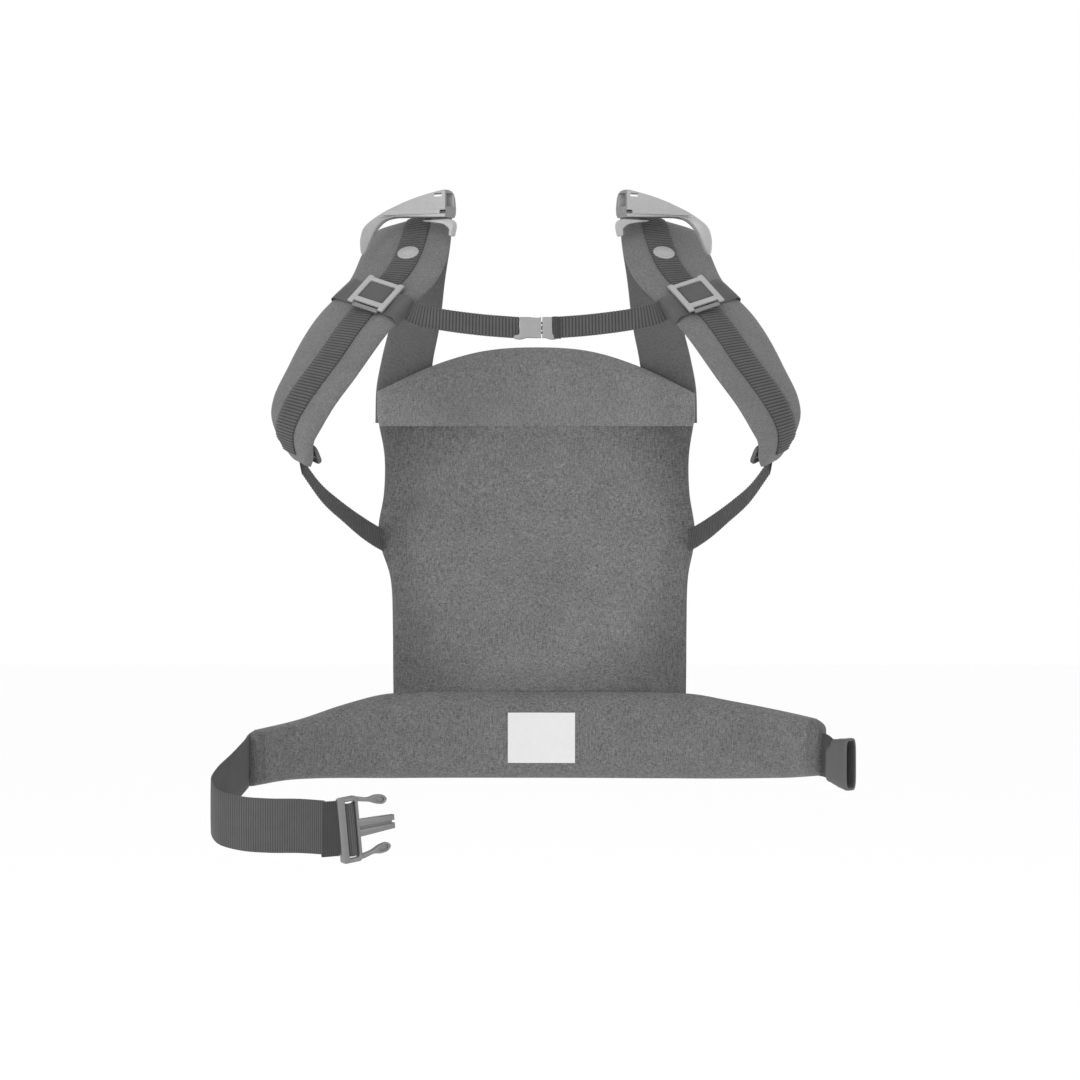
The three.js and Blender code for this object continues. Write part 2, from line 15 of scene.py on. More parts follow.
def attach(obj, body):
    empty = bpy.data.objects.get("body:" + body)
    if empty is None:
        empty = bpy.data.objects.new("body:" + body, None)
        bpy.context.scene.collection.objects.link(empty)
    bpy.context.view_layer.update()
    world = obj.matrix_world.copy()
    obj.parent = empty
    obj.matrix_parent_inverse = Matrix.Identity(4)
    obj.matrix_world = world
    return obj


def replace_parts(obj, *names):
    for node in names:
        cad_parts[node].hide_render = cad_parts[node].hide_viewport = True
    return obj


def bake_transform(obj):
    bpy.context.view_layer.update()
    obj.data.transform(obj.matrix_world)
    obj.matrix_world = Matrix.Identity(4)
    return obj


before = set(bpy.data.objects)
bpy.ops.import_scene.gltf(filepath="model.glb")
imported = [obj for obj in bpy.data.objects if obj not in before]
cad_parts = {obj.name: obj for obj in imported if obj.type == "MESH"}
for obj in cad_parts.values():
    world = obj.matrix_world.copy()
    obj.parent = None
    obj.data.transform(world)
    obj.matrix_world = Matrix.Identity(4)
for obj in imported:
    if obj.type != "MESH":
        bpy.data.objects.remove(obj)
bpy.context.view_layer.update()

# ---- driving dimensions, in millimetres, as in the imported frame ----

MM = 0.001
WEBBING = 1.6
SEWN_EDGE = 0.08  # share of a pad's thickness that is left at its sewn edge

PANEL_BOTTOM = -480
PANEL_TOP = -195.9
PANEL_THICK = 8.6
PANEL_WIDE = 300
PANEL_LEFT = [(-465, -141), (-400, -141), (-350, -144), (-308, -157), (-265, -152), (-228, -152),
              (-196, -158)]
PANEL_RIGHT = [(-465, 148), (-400, 148), (-350, 150), (-308, 158), (-265, 153), (-228, 153),
               (-196, 158)]
PANEL_EDGE_DEPTH = [(-465, 99), (-400, 100), (-300, 103), (-240, 106), (-196, 107)]
POUCH_DEPTH = [(-465, 32), (-430, 46), (-390, 46), (-340, 32), (-290, 16), (-240, 5), (-196, 0)]

HEADREST_SEAM = -199
HEADREST_HALF = 159.5
HEADREST_HIGH = 70
HEADREST_THICK = 10.6
HEADREST_DEPTH = 106
HEADREST_LEAN = 0.06
HEADREST_NARROWED = 2.5  # at each side of its seam
HEADREST_ARC = [(-158, -163), (-105, -138), (-54, -123), (0, -119), (54, -123), (105, -139), (158, -165)]

BELT_LEFT = -262.5
BELT_RIGHT = 262
BELT_THICK = 14.6
BELT_LONG = 650
BELT_HIGH = 78
BELT_BAND = 8.5
BAND_PROUD = 0.6
BELT_DEPTH = [(-300, -40), (-262, 9), (-232, 38), (-190, 68), (-141, 94), (-70, 114), (0, 120),
              (70, 114), (141, 94), (190, 68), (232, 38), (262, 9), (300, -40)]
BELT_UPPER = [(-276, -498), (-229, -489), (-184, -475), (-141, -466), (0, -466), (147, -466),
              (189, -472), (237, -480), (278, -488)]
BELT_LOWER = [(-276, -551), (-232, -547), (-136, -551), (0, -553), (147, -551), (237, -545), (278, -538)]
LABEL = {"left": -28.5, "right": 39, "low": -537, "high": -486.5}

STRAP_LINE = [(-115.7, 12, 1), (-123, -13, -35), (-132, -32, -61), (-150, -50, -85), (-174, -72, -117),
              (-196.5, -90, -152), (-218, -99, -186), (-227.5, -95, -213), (-221, -74, -244)]
STRAP_ACROSS = [(0.91, -0.35, 0.22), (0.93, -0.37, 0), (0.9, -0.42, -0.09), (0.86, -0.5, -0.12),
                (0.84, -0.53, -0.13), (0.82, -0.55, -0.17), (0.78, -0.59, -0.22), (0.66, -0.71, -0.25),
                (0.59, -0.75, -0.3)]
STRAP_WIDE = 74
STRAP_HALF = [(0, 36), (0.12, 41), (0.2, 41), (0.36, 37.5), (0.6, 37), (0.75, 34.5), (0.85, 32.5),
              (0.94, 22), (1, 12)]
STRAP_BULGE = [(0, 9), (0.06, 10), (0.12, 9), (0.26, 10), (0.36, 11), (0.44, 14), (0.52, 12),
               (0.6, 8), (0.68, 4), (0.76, 2), (1, 0)]  # further out, on the side away from the spine
STRAP_THICK = 11.6
RAIL = 27
RAIL_LIFT = 0.9  # above the strap's swollen cover
RAIL_BEYOND = -4  # where the strap's cover has ended
RAIL_END = 0.955
RAIL_SHIFT = [(0, -5), (0.15, -4), (0.33, 0), (0.6, 0), (0.75, 3), (0.88, 7), (1, 12)]
SLIDER_BASE = (-149, -53.5, -88)
SLIDER_ACROSS = (0.858, -0.41, -0.313)
SLIDER_UP = (0.484, 0.571, 0.663)
SLIDER_LIFT = 8.8  # from the slider's own origin, clear of the rail
KEEPER_AT = 0.385
KEEPER_TURN = -14
BADGE_AT = 0.155
BADGE_LIFT = 3.5
BADGE_HALF = (11, 8)
ADJUSTER_AT = 0.975
ADJUSTER_LIFT = -14.5

RISER_LINE = [(-134, 120, -195), (-134, 122, -160), (-130, 119, -134), (-121, 94, -100), (-113, 56, -58),
              (-105, 31, -20), (-104, 25, -7)]
RISER_WIDTH = [(0, 56), (0.5, 50), (1, 42)]
RISER_THICK = 3

ARCH_ORIGIN = (-78, -30, 0)
ARCH_YAW = 22
ARCH_DEPTH = 12
ARCH_STRAIGHT = 62
ARCH_BEND = 0.032
ARCH_THINNING = 0.03  # share of its depth lost over each millimetre beyond the straight

CHEST_WEBBING = 20
CHEST_BUCKLE = (0, -82, -116)
CHEST_BUCKLE_THICK = 8.6
CHEST_PARTING = 5  # where the buckle's socket ends and its plug starts
CHEST_LINE = [(-118.5, -70, -98.3), (-110, -77, -103), (-89, -82, -108.1), (-52, -82.5, -113.1),
              (-15.4, -82, -116)]
CHEST_ACROSS = [(0.5, 0.1, 0.82), (0.25, 0, 0.95), (0.04, 0, 1), (0.02, 0, 1), (0, 0, 1)]
LOWER_WEBBING = 22
LOWER_LINE = [(-219.5, -74, -242), (-203.4, -29, -268.5), (-187.3, 15.5, -285.5), (-171, 60, -300.5),
              (-157, 100, -311), (-150, 112, -315)]
LOWER_ACROSS = [(-0.2, 0.52, 0.83), (-0.2, 0.45, 0.87), (-0.16, 0.417, 0.893), (0, 0.37, 0.93),
                (0.09, 0.34, 0.94), (0.1, 0.34, 0.94)]
WAIST_WEBBING = 50
WAIST_LINE = [(-275.5, 7, -524), (-277.5, -4, -527.5), (-288, -32, -540), (-298.5, -59, -551),
              (-301, -84, -560), (-293, -100, -568), (-272, -109, -573), (-246, -111, -575),
              (-218, -104.5, -576), (-195.5, -91, -579)]
MALE_AT = (-183, -80.5, -584)
MALE_YAW = 36
MALE_PITCH = 6
FEMALE_AT = (276, -9.2, -525.6)
FEMALE_YAW = -47
SOCKET_WEBBING = 42
SOCKET_LINE = [(271.5, 9, -519), (276, 2, -519.5), (280.5, -6, -521), (285, -14, -525),
               (288.5, -19.5, -528)]

RAIL_PITCH = 3.1  # from rib to rib of a webbing
LOWER_PITCH = 4.2
WAIST_PITCH = 2.2
PLAIN_PITCH = 1.4
WAIST_RELIEF = 0.12
X_AXIS = Vector((1, 0, 0))
Y_AXIS = Vector((0, 1, 0))
Z_AXIS = Vector((0, 0, 1))
UPRIGHT = Matrix.Rotation(math.pi / 2, 4, "X")  # stands a shape drawn in X and Y up in X and Z


# ---- camera, light and floor ----

CAMERA_LENS = 86.8
CAMERA_PLACE = (0.0038, -2.5, -0.313)


def new_object(name, data):
    made = bpy.data.objects.new(name, data)
    bpy.context.scene.collection.objects.link(made)
    return made


def add_camera():
    data = bpy.data.cameras.new("camera")
    data.sensor_width = 36
    data.lens = CAMERA_LENS
    camera = new_object("camera", data)
    camera.location = CAMERA_PLACE
    camera.rotation_euler = (math.pi / 2, 0, 0)
    bpy.context.scene.camera = camera


def add_light(name, place, target, size, power):
    data = bpy.data.lights.new(name, "AREA")
    data.size = size
    data.energy = power
    light = new_object(name, data)
    light.location = place
    light.rotation_euler = (Vector(target) - Vector(place)).to_track_quat("-Z", "Y").to_euler()


def add_studio():
    scene = bpy.context.scene
    scene.view_settings.view_transform = "Standard"
    world = bpy.data.worlds.new("studio")
    scene.world = world
    world.use_nodes = True
    world.node_tree.nodes["Background"].inputs["Color"].default_value = (1, 1, 1, 1)
    world.node_tree.nodes["Background"].inputs["Strength"].default_value = 1.0
    add_light("key_light", (-0.9, -2.2, 1.5), (0, 0, -0.3), 1.6, 12)
    add_light("fill_light", (1.8, -1.6, 0.2), (0, 0, -0.3), 2.0, 8)
    add_light("side_light", (-1.7, -1.8, -0.3), (0, 0, -0.4), 1.1, 15)
    bpy.ops.mesh.primitive_plane_add(size=30, location=(0, 0, -1.15))
    floor = bpy.context.object
    floor.name = "floor"
    floor.data.materials.append(flat_material("floor_paper", (0.98, 0.98, 0.98, 1), 0.9))


# ---- materials ----

def grey(level):
    """The colour that shows as a level from 0 to 255."""
    share = level / 255
    linear = share / 12.92 if share <= 0.04045 else ((share + 0.055) / 1.055) ** 2.4
    return (linear, linear, linear, 1)


class Tree:
    """Adds nodes to one material. A keyword is an input's name, with a value or a socket to link."""

    def __init__(self, name, **constants):
        self.material = bpy.data.materials.new(name)
        self.material.use_nodes = True
        self.tree = self.material.node_tree
        self.shader = self.tree.nodes["Principled BSDF"]
        self.set(self.shader, constants)

    def set(self, node, values):
        for key, value in values.items():
            socket = node.inputs[int(key[1:]) if key[0] == "_" else key.replace("_", " ")]
            if isinstance(value, bpy.types.NodeSocket):
                self.tree.links.new(value, socket)
            else:
                socket.default_value = value

    def add(self, kind, output=0, settings=None, **values):
        node = self.tree.nodes.new("ShaderNode" + kind)
        for key, value in (settings or {}).items():
            setattr(node, key, value)
        self.set(node, values)
        return node.outputs[output]

    def math(self, operation, first, second):
        return self.add("Math", settings={"operation": operation}, _0=first, _1=second)

    def spread(self, value, low, high, start=0.0, end=1.0):
        """A value's range from low to high, stretched to run from start to end."""
        return self.add("MapRange", Value=value, From_Min=low, From_Max=high, To_Min=start, To_Max=end)

    def mix(self, share, first, second):
        return self.add("Mix", 2, {"data_type": "RGBA"}, _0=share, _6=first, _7=second)

    def scaled(self, colour, share):
        """A colour multiplied by a share near one."""
        return self.add("VectorMath", settings={"operation": "SCALE"}, Vector=colour, Scale=share)

    def noise(self, place, size, detail=2.0):
        """Noise whose grains have a size in millimetres, or one size along each axis."""
        sizes = size if isinstance(size, tuple) else (size, size, size)
        stretched = self.add("Mapping", Vector=place, Scale=[1 / (s * MM) for s in sizes])
        return self.add("TexNoise", Vector=stretched, Scale=1.0, Detail=detail, Roughness=0.6)

    def bump(self, height, strength, distance):
        normal = self.add("Bump", Height=height, Strength=strength, Distance=distance * MM)
        self.set(self.shader, {"Normal": normal})


def flat_material(name, colour, roughness):
    return Tree(name, Base_Color=colour, Roughness=roughness).material


def heather(name, dark, light, thread, slub, relief, oval=None):
    """Cloth woven from yarns between two greys, with slubs along both directions.

    An oval is the middle and half sizes, in X and Z, of the part of a piece left at full colour; outside it
    the colour is darkened as painted shade.
    """
    tree = Tree(name, Roughness=0.92, Sheen_Weight=0.12, Sheen_Roughness=0.6, Specular_IOR_Level=0.2)
    place = tree.add("TexCoord", "Object")
    weft = tree.noise(place, (slub * 0.5, slub, thread))
    warp = tree.noise(place, (thread, thread, slub))
    grain = tree.noise(place, thread * 0.8, 1.0)
    total = tree.math("ADD", tree.math("ADD", weft, warp), tree.math("MULTIPLY", grain, 0.6))
    share = tree.spread(total, 0.95, 1.65)
    cloudy_and_painted_oval_shade = tree.spread(tree.noise(place, 38.0, 3.0), 0.3, 0.7, 0.93, 1.07)
    # Outside the oval the colour darkens, as painted shade.
    if oval:
        x, z, half_x, half_z = (size * MM for size in oval)
        place_in = tree.add("Mapping", settings={"vector_type": "TEXTURE"}, Vector=place,
                            Location=(x, 0, z), Scale=(half_x, 1000, half_z))
        from_middle = tree.add("VectorMath", 1, {"operation": "LENGTH"}, Vector=place_in)
        cloudy_and_painted_oval_shade = tree.math("MULTIPLY", cloudy_and_painted_oval_shade, tree.spread(from_middle, 0.75, 1.12, 1.0, 0.58))
    tree.set(tree.shader, {"Base Color": tree.scaled(tree.mix(share, grey(dark), grey(light)), cloudy_and_painted_oval_shade)})
    waves = [tree.add("TexWave", 1, {"bands_direction": axis}, Vector=place, Scale=0.314 / (thread * MM))
             for axis in "XZ"]
    weave = tree.math("MULTIPLY", *waves)
    tree.bump(tree.math("ADD", total, tree.math("MULTIPLY", weave, 0.35)), 0.55, relief)
    return tree.material


def webbing_cloth(name, groove, rib, relief):
    """Webbing whose ribs follow its own length: the first UV axis counts them."""
    tree = Tree(name, Roughness=0.72, Sheen_Weight=0.1, Sheen_Roughness=0.5, Specular_IOR_Level=0.3)
    place = tree.add("TexCoord", "Object")
    ribs = tree.add("SeparateXYZ", Vector=tree.add("UVMap", settings={"uv_map": "UVMap"}))
    crown = tree.spread(tree.math("PINGPONG", ribs, 0.5), 0.02, 0.3)
    on_cloth = tree.add("CombineXYZ", X=tree.math("MULTIPLY", ribs, 3.0),
                        Y=tree.math("MULTIPLY", ribs.node.outputs[1], 1.6))
    yarn = tree.add("TexNoise", Vector=on_cloth, Scale=1.0, Detail=2.0)
    worn = tree.spread(tree.noise(place, 14.0, 3.0), 0.3, 0.7, 0.93, 1.07)
    tone = tree.math("MULTIPLY", tree.spread(yarn, 0.25, 0.75, 0.86, 1.14), worn)
    # Grooves take the darker grey and rib crowns the lighter one, as painted shade and light across each rib.
    tree.set(tree.shader, {"Base Color": tree.scaled(tree.mix(crown, grey(groove), grey(rib)), tone)})
    tree.bump(tree.math("ADD", crown, tree.math("MULTIPLY", yarn, 0.5)), 0.6, relief)
    return tree.material


def moulded(name, level, roughness, coat=0.05):
    """Moulded plastic with a fine spark-eroded grain and faint handling marks."""
    tree = Tree(name, IOR=1.5, Coat_Weight=coat, Coat_Roughness=0.12)
    place = tree.add("TexCoord", "Object")
    tone = tree.spread(tree.noise(place, 9.0, 4.0), 0.3, 0.7, 0.96, 1.04)
    tree.set(tree.shader, {"Base Color": tree.scaled(grey(level)[:3], tone)})
    marks = tree.noise(place, (1.5, 12.0, 5.0), 5.0)
    tree.set(tree.shader, {"Roughness": tree.spread(marks, 0.3, 0.75, roughness - 0.06, roughness + 0.1)})
    tree.bump(tree.noise(place, 0.35, 2.0), 0.12, 0.08)
    return tree.material


def label_cloth():
    tree = Tree("label_cloth", Roughness=0.6, Specular_IOR_Level=0.25)
    place = tree.add("TexCoord", "Object")
    tone = tree.spread(tree.noise(place, 6.0), 0.3, 0.7, 0.97, 1.0)
    tree.set(tree.shader, {"Base Color": tree.scaled(grey(205)[:3], tone)})
    tree.bump(tree.noise(place, (0.5, 0.5, 0.25)), 0.3, 0.06)
    return tree.material


# ---- shape helpers ----

SMALL = 1e-3  # step of a line's or a surface's parameter when its direction is measured
LINE_STEPS = 400  # when a line's length is measured
CORNER_STEPS = 6
TUBE_SIDES = 16
GRID = 5.0  # between the points of a pad


def clamp(value, low=0.0, high=1.0):
    return min(max(value, low), high)


def lerp(low, high, share):
    return low + (high - low) * share


def through(pairs):
    """A smooth function through (position, value) pairs."""
    last = len(pairs) - 1

    def slope(i):
        before, after = pairs[max(i - 1, 0)], pairs[min(i + 1, last)]
        return (after[1] - before[1]) / (after[0] - before[0])

    def at(x):
        i = next((k for k in range(1, last) if pairs[k][0] > x), last) - 1
        width = pairs[i + 1][0] - pairs[i][0]
        t = clamp((x - pairs[i][0]) / width)
        rise = t * t * (3 - 2 * t)
        leave = t * (1 - t) ** 2 * width * slope(i)
        arrive = t * t * (t - 1) * width * slope(i + 1)
        return pairs[i][1] * (1 - rise) + pairs[i + 1][1] * rise + leave + arrive

    return at


def curve(points):
    """A smooth line through points, as a function from 0 at its start to 1 at its end."""
    pts = [Vector(p) for p in points]
    pts = [2 * pts[0] - pts[1], *pts, 2 * pts[-1] - pts[-2]]

    def at(t):
        place = clamp(t) * (len(pts) - 3)
        i = min(int(place), len(pts) - 4)
        u = place - i
        p0, p1, p2, p3 = pts[i:i + 4]
        d0, d1, d2 = (math.sqrt((q - p).length) for p, q in ((p0, p1), (p1, p2), (p2, p3)))
        leave = ((p1 - p0) / d0 - (p2 - p0) / (d0 + d1) + (p2 - p1) / d1) * d1
        arrive = ((p2 - p1) / d1 - (p3 - p1) / (d1 + d2) + (p3 - p2) / d2) * d1
        return (p1 * (2 * u ** 3 - 3 * u * u + 1) + leave * (u ** 3 - 2 * u * u + u)
                + p2 * (3 * u * u - 2 * u ** 3) + arrive * (u ** 3 - u * u))

    return at


def heading(line, t):
    return (line(t + SMALL) - line(t - SMALL)).normalized()


def normal_at(surface, a, b):
    across = surface(a + SMALL, b) - surface(a - SMALL, b)
    along = surface(a, min(b + SMALL, 1)) - surface(a, max(b - SMALL, 0))
    return across.cross(along).normalized()


def stations(count):
    """Places from -1 to 1, closer together towards both ends."""
    return [0.4 * (2 * i / count - 1) - 0.6 * math.cos(math.pi * i / count) for i in range(count + 1)]


def edged(width):
    """Places from -1 to 1 over a width, with closer ones at each edge."""
    edges = [2 * d / width for d in (0.0, 0.6, 1.8, 3.6, 6.0)]
    inside = even(-1 + edges[-1], 1 - edges[-1], round((width - 12) / GRID))
    return [-1 + e for e in edges[:-1]] + inside + [1 - e for e in reversed(edges[:-1])]


def pad_grid(width, length):
    return edged(width), [(s + 1) / 2 for s in edged(length)]


def even(low, high, count):
    return [lerp(low, high, i / count) for i in range(count + 1)]


def corner_drop(distance, radius):
    """How far a rounded corner falls away at a distance in from the end."""
    inside = radius - clamp(distance, 0, radius)
    return radius - math.sqrt(radius * radius - inside * inside)


def rounding(distance, radius):
    """The share of full thickness at a distance in from an edge."""
    x = 1 - clamp(distance / radius)
    return max(math.sqrt(1 - x * x), SEWN_EDGE)


def border(wide, long):
    """The points round the border of a grid, in order."""
    rim = list(range(wide - 1))
    rim += [j * wide + wide - 1 for j in range(long - 1)]
    rim += [wide * long - 1 - i for i in range(wide - 1)]
    rim += [j * wide for j in range(long - 1, 0, -1)]
    return rim


def shell(surface, front, back, across, along):
    """A closed sheet between two heights over a surface: points, faces and no UVs."""
    points = []
    for height in (front, back):
        for b in along:
            for a in across:
                points.append(surface(a, b) + height(a, b) * normal_at(surface, a, b))
    wide = len(across)
    sheet = wide * len(along)
    faces = []
    for j in range(len(along) - 1):
        for i in range(wide - 1):
            p = j * wide + i
            faces.append((p, p + 1, p + wide + 1, p + wide))
            faces.append((p + sheet, p + sheet + wide, p + sheet + wide + 1, p + sheet + 1))
    rim = border(wide, len(along))
    for k, start in enumerate(rim):
        end = rim[(k + 1) % len(rim)]
        faces.append((end, start, start + sheet, end + sheet))
    return points, faces, None


def ring_faces(rings, count):
    """The faces between rings of points that follow each other."""
    faces = []
    for start in range(0, (rings - 1) * count, count):
        for i in range(count):
            k = (i + 1) % count
            faces.append((start + i, start + k, start + count + k, start + count + i))
    return faces


def loft(rings):
    """A closed skin over rings that have the same number of points."""
    count = len(rings[0])
    points = [p for ring in rings for p in ring]
    faces = ring_faces(len(rings), count)
    faces.append(tuple(reversed(range(count))))
    faces.append(tuple(range(len(points) - count, len(points))))
    return points, faces, None


def lengths(line):
    """The distance along a line at even steps of its own parameter."""
    places = [line(i / LINE_STEPS) for i in range(LINE_STEPS + 1)]
    total = [0.0]
    for before, after in zip(places, places[1:]):
        total.append(total[-1] + (after - before).length)
    return total


def place_at(total, distance):
    """The line's parameter at a distance along it."""
    i = next((k for k in range(1, len(total)) if total[k] >= distance), len(total) - 1)
    return (i - 1 + (distance - total[i - 1]) / (total[i] - total[i - 1])) / (len(total) - 1)


BAND_SECTION = [(-1, 0), (-0.975, 0.75), (-0.5, 1), (0, 1), (0.5, 1), (0.975, 0.75),
                (1, 0), (0.975, -0.75), (0.5, -1), (0, -1), (-0.5, -1), (-0.975, -0.75)]
RIB = [-1, 0.5, 1, 0.5]  # the height of a rib at each quarter of its pitch


def webbing(line, across_at, width, pitch, relief=0.0, thick=WEBBING, rest=None):
    """A webbing along a line, with its ribs: points, faces and UVs that count the ribs.

    A rest is a function of a point and a direction, for how far out of the line the cloth lies there.
    """
    total = lengths(line)
    ribs = max(round(total[-1] / pitch), 2)
    points, uvs, rings = [], [], len(RIB) * ribs + 1
    for j in range(rings):
        t = place_at(total, total[-1] * j / (rings - 1))
        across = across_at(t).normalized()
        out = across.cross(heading(line, t)).normalized()
        wave = relief * RIB[j % len(RIB)]
        for side, height in BAND_SECTION:
            place = line(t) + across * side * (width / 2 + 0.6 * wave)
            lying = rest(place, out) if rest else 0.0
            points.append(place + out * (lying + height * (thick / 2 + wave)))
            uvs.append((j / len(RIB), side * width / 2))
    count = len(BAND_SECTION)
    faces = ring_faces(rings, count)
    faces.append(tuple(range(count)))
    faces.append(tuple(reversed(range(len(points) - count, len(points)))))
    return points, faces, uvs


def rounded_box(wide, high, radius, x=0.0, y=0.0):
    """The outline of a rounded rectangle about a centre."""
    outline = []
    for k, (sx, sy) in enumerate(((1, 1), (-1, 1), (-1, -1), (1, -1))):
        for i in range(CORNER_STEPS + 1):
            angle = math.pi / 2 * (k + i / CORNER_STEPS)
            outline.append((x + sx * (wide / 2 - radius) + radius * math.cos(angle),
                            y + sy * (high / 2 - radius) + radius * math.sin(angle)))
    return outline


def turned_over(points, side):
    """An outline as it is on side 1, or turned over the X axis on side -1, in the same direction."""
    return [(x, y * side) for x, y in points[::side]]


def smooth_outline(points, steps):
    """A smooth closed outline through points."""
    loop = [Vector((*p, 0)) for p in points]
    outline = []
    for i in range(len(loop)):
        p0, p1, p2, p3 = (loop[(i + k) % len(loop)] for k in (-1, 0, 1, 2))
        for k in range(steps):
            u = k / steps
            p = 0.5 * (2 * p1 + (p2 - p0) * u + (2 * p0 - 5 * p1 + 4 * p2 - p3) * u * u
                       + (3 * p1 - p0 - 3 * p2 + p3) * u ** 3)
            outline.append((p.x, p.y))
    return outline


def shape_of(holder):
    """An object with its modifiers applied: points, faces and no UVs."""
    bpy.context.view_layer.update()
    mesh = bpy.data.meshes.new_from_object(holder.evaluated_get(bpy.context.evaluated_depsgraph_get()))
    data = ([v.co.copy() for v in mesh.vertices], [tuple(p.vertices) for p in mesh.polygons], None)
    bpy.data.meshes.remove(mesh)
    return data


def plate(outlines, depth, bevel):
    """An outline, and any holes after it, made solid about the middle of its depth with rounded edges."""
    flat = bpy.data.curves.new("outline", "CURVE")
    flat.dimensions = "2D"
    flat.fill_mode = "BOTH"
    flat.extrude = depth / 2 - bevel
    flat.bevel_depth = bevel
    flat.bevel_resolution = 2
    flat.offset = -bevel
    for outline in outlines:
        spline = flat.splines.new("POLY")
        spline.points.add(len(outline) - 1)
        for point, (x, y) in zip(spline.points, outline):
            point.co = (x, y, 0, 1)
        spline.use_cyclic_u = True
    holder = new_object("outline", flat)
    data = shape_of(holder)
    bpy.data.objects.remove(holder)
    bpy.data.curves.remove(flat)
    return data


def block(low, high):
    """A plain box between two corners, used to cut with."""
    corners = [Vector(corner) for corner in itertools.product(*zip(low, high))]
    faces = [(0, 1, 3, 2), (4, 6, 7, 5), (0, 4, 5, 1), (2, 3, 7, 6), (0, 2, 6, 4), (1, 5, 7, 3)]
    return corners, faces, None


def tube(line, radius_at, steps):
    """A round bar along a line."""
    rings = []
    for j in range(steps + 1):
        t = j / steps
        ahead = heading(line, t)
        first = ahead.cross(Z_AXIS).normalized()
        second = ahead.cross(first).normalized()
        angles = [2 * math.pi * i / TUBE_SIDES for i in range(TUBE_SIDES)]
        rings.append([line(t) + radius_at(t) * (math.cos(angle) * first + math.sin(angle) * second)
                      for angle in angles])
    return loft(rings)


def moved(data, matrix):
    points, faces, uvs = data
    return [matrix @ p for p in points], faces, uvs


def mirrored(data):
    points, faces, uvs = data
    return [Vector((-p.x, p.y, p.z)) for p in points], [tuple(reversed(f)) for f in faces], uvs


def joined(*parts):
    points, faces = [], []
    for part in parts:
        start = len(points)
        points += part[0]
        faces += [tuple(i + start for i in f) for f in part[1]]
    return points, faces, None


def to_mesh(name, data, scale=MM):
    points, faces, uvs = data
    mesh = bpy.data.meshes.new(name)
    mesh.from_pydata([p * scale for p in points], [], faces)
    if uvs:
        layer = mesh.uv_layers.new(name="UVMap")
        for loop in mesh.loops:
            layer.data[loop.index].uv = uvs[loop.vertex_index]
    return mesh


def tidied(mesh):
    """Joins shared corners and turns every face outwards."""
    work = bmesh.new()
    work.from_mesh(mesh)
    bmesh.ops.remove_doubles(work, verts=work.verts, dist=1e-6)
    bmesh.ops.recalc_face_normals(work, faces=work.faces)
    work.to_mesh(mesh)
    work.free()


def cut(data, *tools):
    """A solid with others cut from it."""
    body = new_object("solid", to_mesh("solid", data, 1))
    tidied(body.data)
    cutters = []
    for tool in tools:
        cutter = new_object("cutter", to_mesh("cutter", tool, 1))
        tidied(cutter.data)
        modifier = body.modifiers.new("cut", "BOOLEAN")
        modifier.operation = "DIFFERENCE"
        modifier.solver = "EXACT"
        modifier.object = cutter
        cutters.append(cutter)
    result = shape_of(body)
    for piece in (body, *cutters):
        bpy.data.objects.remove(piece)
    return result


def smoothed(piece):
    modifier = piece.modifiers.new("smooth", "SUBSURF")
    modifier.levels = modifier.render_levels = 1


def add(name, data, material, slot, sharp=40):
    """Makes a shown piece from points in millimetres."""
    mesh = to_mesh(name, data)
    tidied(mesh)
    mesh.shade_smooth()
    mesh.set_sharp_from_angle(angle=math.radians(sharp))
    mesh.materials.append(material)
    piece = new_object(name, mesh)
    return piece


def add_part(name, data, material, slot, node, body, **shading):
    """A shown piece that stands for one CAD node and rides one body."""
    piece = add(name, data, material, slot, **shading)
    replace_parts(piece, node)
    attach(piece, body)
    return piece


def both_sides(data):
    return (("left", data), ("right", mirrored(data)))


# ---- padding ----

PADS = []  # each padded piece with how far it may swell
CLOTH_FRAMES = 20


def add_pad(name, grid, surface, heights, material, slot, swell, mirror=False):
    """A padded piece over a surface, held at its sewn border and slightly uneven between."""
    across, along = grid
    points, faces, _ = shell(surface, *heights, across, along)
    sheet = len(across) * len(along)
    for i, point in enumerate(points):
        hollow = noise.noise(point * 0.022 + Vector((3.1, 0, 1.7))) * 0.9
        points[i] = point + Y_AXIS * hollow * (1 if i < sheet else -1)
    data = (points, faces, None)
    piece = add(name, mirrored(data) if mirror else data, material, slot, sharp=180)
    held = piece.vertex_groups.new(name="sewn")
    rim = border(len(across), len(along))
    held.add(rim + [i + sheet for i in rim], 1.0, "REPLACE")
    PADS.append((piece, swell))
    return piece


def swell_pads():
    """Presses every pad out against its sewn cover, and keeps each point near where it was cut."""
    scene = bpy.context.scene
    rest = {}
    for piece, _ in PADS:
        rest[piece.name] = [v.co.copy() for v in piece.data.vertices]
        cloth = piece.modifiers.new("filling", "CLOTH")
        cloth.settings.quality = 4
        cloth.settings.vertex_group_mass = "sewn"
        cloth.settings.use_pressure = True
        cloth.settings.uniform_pressure_force = 4
        cloth.settings.effector_weights.gravity = 0
        cloth.collision_settings.use_collision = False
    for number in range(1, CLOTH_FRAMES + 1):
        scene.frame_set(number)
    for piece, swell in PADS:
        shaped = piece.evaluated_get(bpy.context.evaluated_depsgraph_get()).data
        for vertex, before, after in zip(piece.data.vertices, rest[piece.name], shaped.vertices):
            step = after.co - before
            limit = swell * MM
            vertex.co = before + step * min(1.0, limit / max(step.length, 1e-9))
        piece.modifiers.clear()
    scene.frame_set(1)
    for piece, _ in PADS:
        smoothed(piece)


REACH = 12  # above and below a point, when something is laid on a pad


def skin_of(piece):
    """A pad's surface, to lay a webbing or the label on."""
    return BVHTree.FromObject(piece, bpy.context.evaluated_depsgraph_get())


def laid_on(skin, point, out):
    """Where a line straight in from above a point meets a skin, or the point itself."""
    place = skin.ray_cast((point + out * REACH) * MM, -out, 2 * REACH * MM)[0]
    return place / MM if place else point


